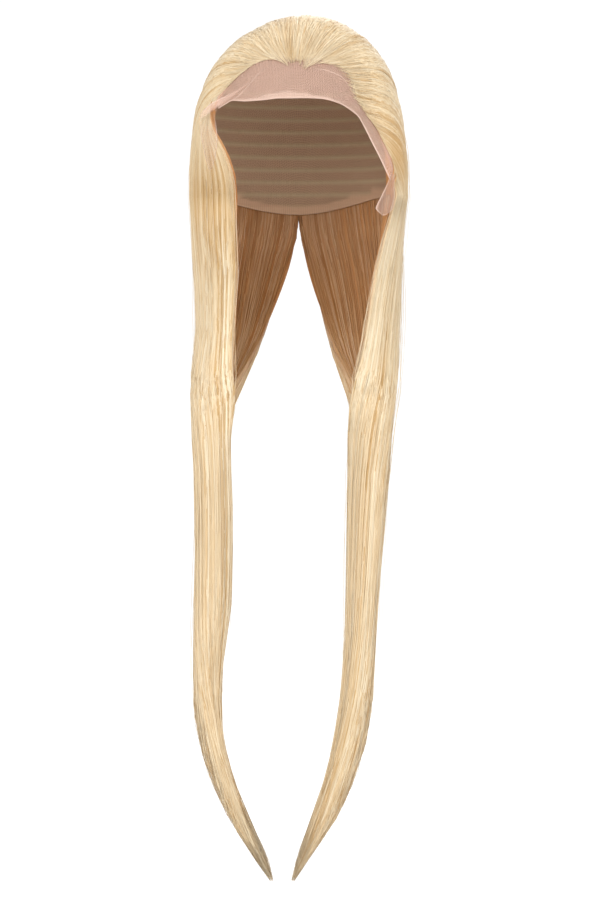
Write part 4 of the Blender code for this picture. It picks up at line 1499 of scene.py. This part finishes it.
def add_lace_fold(cap):
    """The lace's left end, folded back over the hair."""
    centre = np.array([[row["x"], row["y"], row["z"]] for row in LACE_FOLD]) / 1000.0
    width = np.array([row["width"] for row in LACE_FOLD]) / 1000.0
    place = np.linspace(0.0, len(LACE_FOLD) - 1.0, 49)
    centre = np.stack([curve_through(place, centre[:, k]) for k in range(3)], axis=-1)
    width = curve_through(place, width)
    tangent = np.gradient(centre, axis=0)
    out = centre / np.array([CAP_HALF_WIDTH, CAP_HALF_DEPTH, CAP_HALF_DEPTH])
    out[:, 2] = (centre[:, 2] + CAP_HEIGHT) / CAP_HALF_DEPTH
    out /= np.linalg.norm(out, axis=-1, keepdims=True)
    across_way = np.cross(tangent, out)
    across_way /= np.linalg.norm(across_way, axis=-1, keepdims=True)
    f = np.linspace(-0.5, 0.5, 9)
    outer = centre[:, None] + across_way[:, None] * (width[:, None] * f)[..., None]
    outer += out[:, None] * (0.0012 * (1.0 - (2.0 * f) ** 2))[None, :, None]
    inner = outer - out[:, None] * LACE_THICKNESS
    # Paler towards one side of the fold: the lace doubled there, with a painted highlight.
    edge = 0.30 + 0.70 * smooth((2.0 * f - 0.45) / 0.4)[None, :] * np.ones((len(place), 1))
    ends = smooth(place / 6.0) * smooth((len(LACE_FOLD) - 1.0 - place) / 1.8)
    sides = smooth((1.0 + 2.0 * f) / 0.7) * smooth((1.0 - 2.0 * f) / 0.12 + 0.4)
    veil = ends[:, None] * sides[None, :]
    run = travelled(centre)[:, None]
    attributes = both(edge=edge, across=run, along=width[:, None] * f, veil=veil)
    obj = shell("lace_fold_left", outer, inner, attributes)
    shows = LACE_SHOWS["lace_fold_sheer"]
    material = lace_material("lace_fold_sheer", tuple(cap.lace), *shows)
    obj.data.materials.append(material)
    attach(obj, "root")


class WIG_OT_lace(bpy.types.Operator):
    """Add the sheer lace over the forehead and temples, and its left fold"""

    bl_idname = "wig.lace"
    bl_label = "Lace front"

    def execute(self, context):
        cap = context.scene.wig_cap
        add_lace_front(cap)
        add_lace_fold(cap)
        return {"FINISHED"}


def add_right_tab(cap):
    """The loose tab on the right, hanging from the lace."""
    f = np.linspace(0.0, 1.0, 15)[None, :]
    z = np.linspace(RIGHT_TAB[0]["z"], RIGHT_TAB[-1]["z"], 26)[:, None]
    inner_x, outer_x, inner_y, outer_y = (
        read(RIGHT_TAB, "z", z, name) for name in ("inner_x", "outer_x", "inner_y", "outer_y")
    )
    x = inner_x + (outer_x - inner_x) * f
    y = inner_y + (outer_y - inner_y) * f - 1.2 * np.sin(math.pi * f)
    outer = np.stack([x, y, np.broadcast_to(z, x.shape)], -1) / 1000.0
    inner = outer + np.array([0.0, LACE_THICKNESS, 0.0])
    rim = np.maximum(smooth((0.16 - f) / 0.10), 0.6 * smooth((f - 0.88) / 0.08))
    rim = np.maximum(rim, smooth((-176.6 - z) / 1.2))
    place = {"across": outer[..., 0], "along": outer[..., 2]}
    attributes = both(edge=rim, **place, veil=np.ones_like(rim))
    obj = shell("ear_tab_right_sheet", outer, inner, attributes)
    shows = LACE_SHOWS["tab_sheer_right"]
    # The right tab's lace is darkened to 0.66 of the lace colour: painted shade.
    material = lace_material("tab_sheer_right", tinted(cap.lace, 0.66), *shows)
    finish_piece(obj, material, "lace", "ear_tab_right")


def add_left_tab(cap):
    """The tab on the left, turned back on the hair."""
    f = np.linspace(0.0, 1.0, 15)[None, :]
    polar = np.linspace(LEFT_TAB[0]["polar"], LEFT_TAB[-1]["polar"], 26)[:, None]
    first, last = (read(LEFT_TAB, "polar", polar, name) for name in ("inner", "outer"))
    azimuth = first + (last - first) * f
    across, along = fullness(polar, azimuth)
    outer, inner = (
        dome_point("left", azimuth, polar, across + seat, along + seat) for seat in TAB_SEAT
    )
    rim = smooth((np.abs(2.0 * f - 1.0) - 0.84) / 0.12) * np.ones_like(polar)
    veil = (0.3 + 0.7 * smooth((polar - 86.0) / 6.0)) * np.ones_like(f)
    place = {"across": outer[..., 0], "along": outer[..., 2]}
    attributes = both(edge=rim, **place, veil=veil)
    obj = shell("ear_tab_left_sheet", outer, inner, attributes)
    shows = LACE_SHOWS["tab_sheer_left"]
    material = lace_material("tab_sheer_left", tuple(cap.lace), *shows)
    finish_piece(obj, material, "lace", "ear_tab_left")


class WIG_OT_tabs(bpy.types.Operator):
    """Add the two ear tabs"""

    bl_idname = "wig.tabs"
    bl_label = "Ear tabs"

    def execute(self, context):
        cap = context.scene.wig_cap
        add_right_tab(cap)
        add_left_tab(cap)
        return {"FINISHED"}


class WIG_OT_hair_mass(bpy.types.Operator):
    """Add the closed mass of hair that the strands lie on"""

    bl_idname = "wig.hair_mass"
    bl_label = "Hair mass"

    def execute(self, context):
        material = hair_material("hair_mass_blonde", context.scene.wig_hair, False)
        for side in SIDES:
            obj = hair_bed("front_hair_mass_" + side, side, FIRST_SHARE, SPLIT_SHARE)
            finish_piece(obj, material, "hair", "front_hair_" + side, "crown_hair")
            obj = hair_bed("back_hair_mass_" + side, side, SPLIT_SHARE, 1.0)
            finish_piece(obj, material, "hair_back", "back_hair_" + side, "crown_hair")
        return {"FINISHED"}


class WIG_OT_strands(bpy.types.Operator):
    """Add the strands over the hair mass, from the hairline to the tips"""

    bl_idname = "wig.strands"
    bl_label = "Strands"

    def execute(self, context):
        hair = context.scene.wig_hair
        material = hair_material("hair_strands_blonde", hair, True)
        in_front = int(round(FRONT_PART * hair.strands))
        behind = hair.strands - in_front
        for side in SIDES:
            front, back = "front_hair_" + side, "back_hair_" + side
            name = "front_strands_" + side
            obj = outer_strands(name, "front", side, in_front, 0.0, SPLIT_SHARE, hair)
            finish_piece(obj, material, "hair", front)
            name = "back_strands_" + side
            obj = outer_strands(name, "back", side, behind, SPLIT_SHARE, 1.0, hair)
            finish_piece(obj, material, "hair_back", back)
            obj = inner_strands("inner_strands_" + side, side, 0.05, 1.0, hair)
            finish_piece(obj, material, "hair_back", back)
            name = "front_edge_strands_" + side
            obj = edge_strands(name, "front_edge", side, 0.0, 0.02, FRONT_EDGE_STRANDS, hair)
            finish_piece(obj, material, "hair", front)
            name = "back_edge_strands_" + side
            obj = edge_strands(name, "back_edge", side, 1.0, 0.94, BACK_EDGE_STRANDS, hair)
            finish_piece(obj, material, "hair_back", back)
            obj = stray_strands("stray_hairs_" + side, side, hair)
            finish_piece(obj, material, "hair", front)
            obj = root_strands("hairline_hairs_" + side, side, hair)
            finish_piece(obj, material, "hair", "crown_hair")
        return {"FINISHED"}


class WIG_PT_panel(bpy.types.Panel):
    """The wig's pieces"""

    bl_label = "Wig"
    bl_idname = "WIG_PT_panel"
    bl_space_type = "VIEW_3D"
    bl_region_type = "UI"
    bl_category = "Wig"

    def draw(self, context):
        for step in STEPS:
            self.layout.operator("wig." + step)
        for settings in (context.scene.wig_hair, context.scene.wig_cap):
            for key in settings.__annotations__:
                self.layout.prop(settings, key)


STEPS = ("stage", "cap", "lace", "hair_mass", "strands", "tabs")

CLASSES = (
    WigHair,
    WigCap,
    WIG_OT_stage,
    WIG_OT_cap,
    WIG_OT_lace,
    WIG_OT_tabs,
    WIG_OT_hair_mass,
    WIG_OT_strands,
    WIG_PT_panel,
)


def register():
    """Makes the wig's settings, steps and panel known."""
    for made in CLASSES:
        bpy.utils.register_class(made)
    bpy.types.Scene.wig_hair = bpy.props.PointerProperty(type=WigHair)
    bpy.types.Scene.wig_cap = bpy.props.PointerProperty(type=WigCap)


def unregister():
    """Takes them away again."""
    del bpy.types.Scene.wig_cap
    del bpy.types.Scene.wig_hair
    for made in reversed(CLASSES):
        bpy.utils.unregister_class(made)


def main():
    """Builds the whole wig."""
    register()
    bpy.ops.object.select_all(action="DESELECT")
    make_streak_group()
    make_net_group()
    for step in STEPS:
        getattr(bpy.ops.wig, step)()


if __name__ == "__main__":
    main()
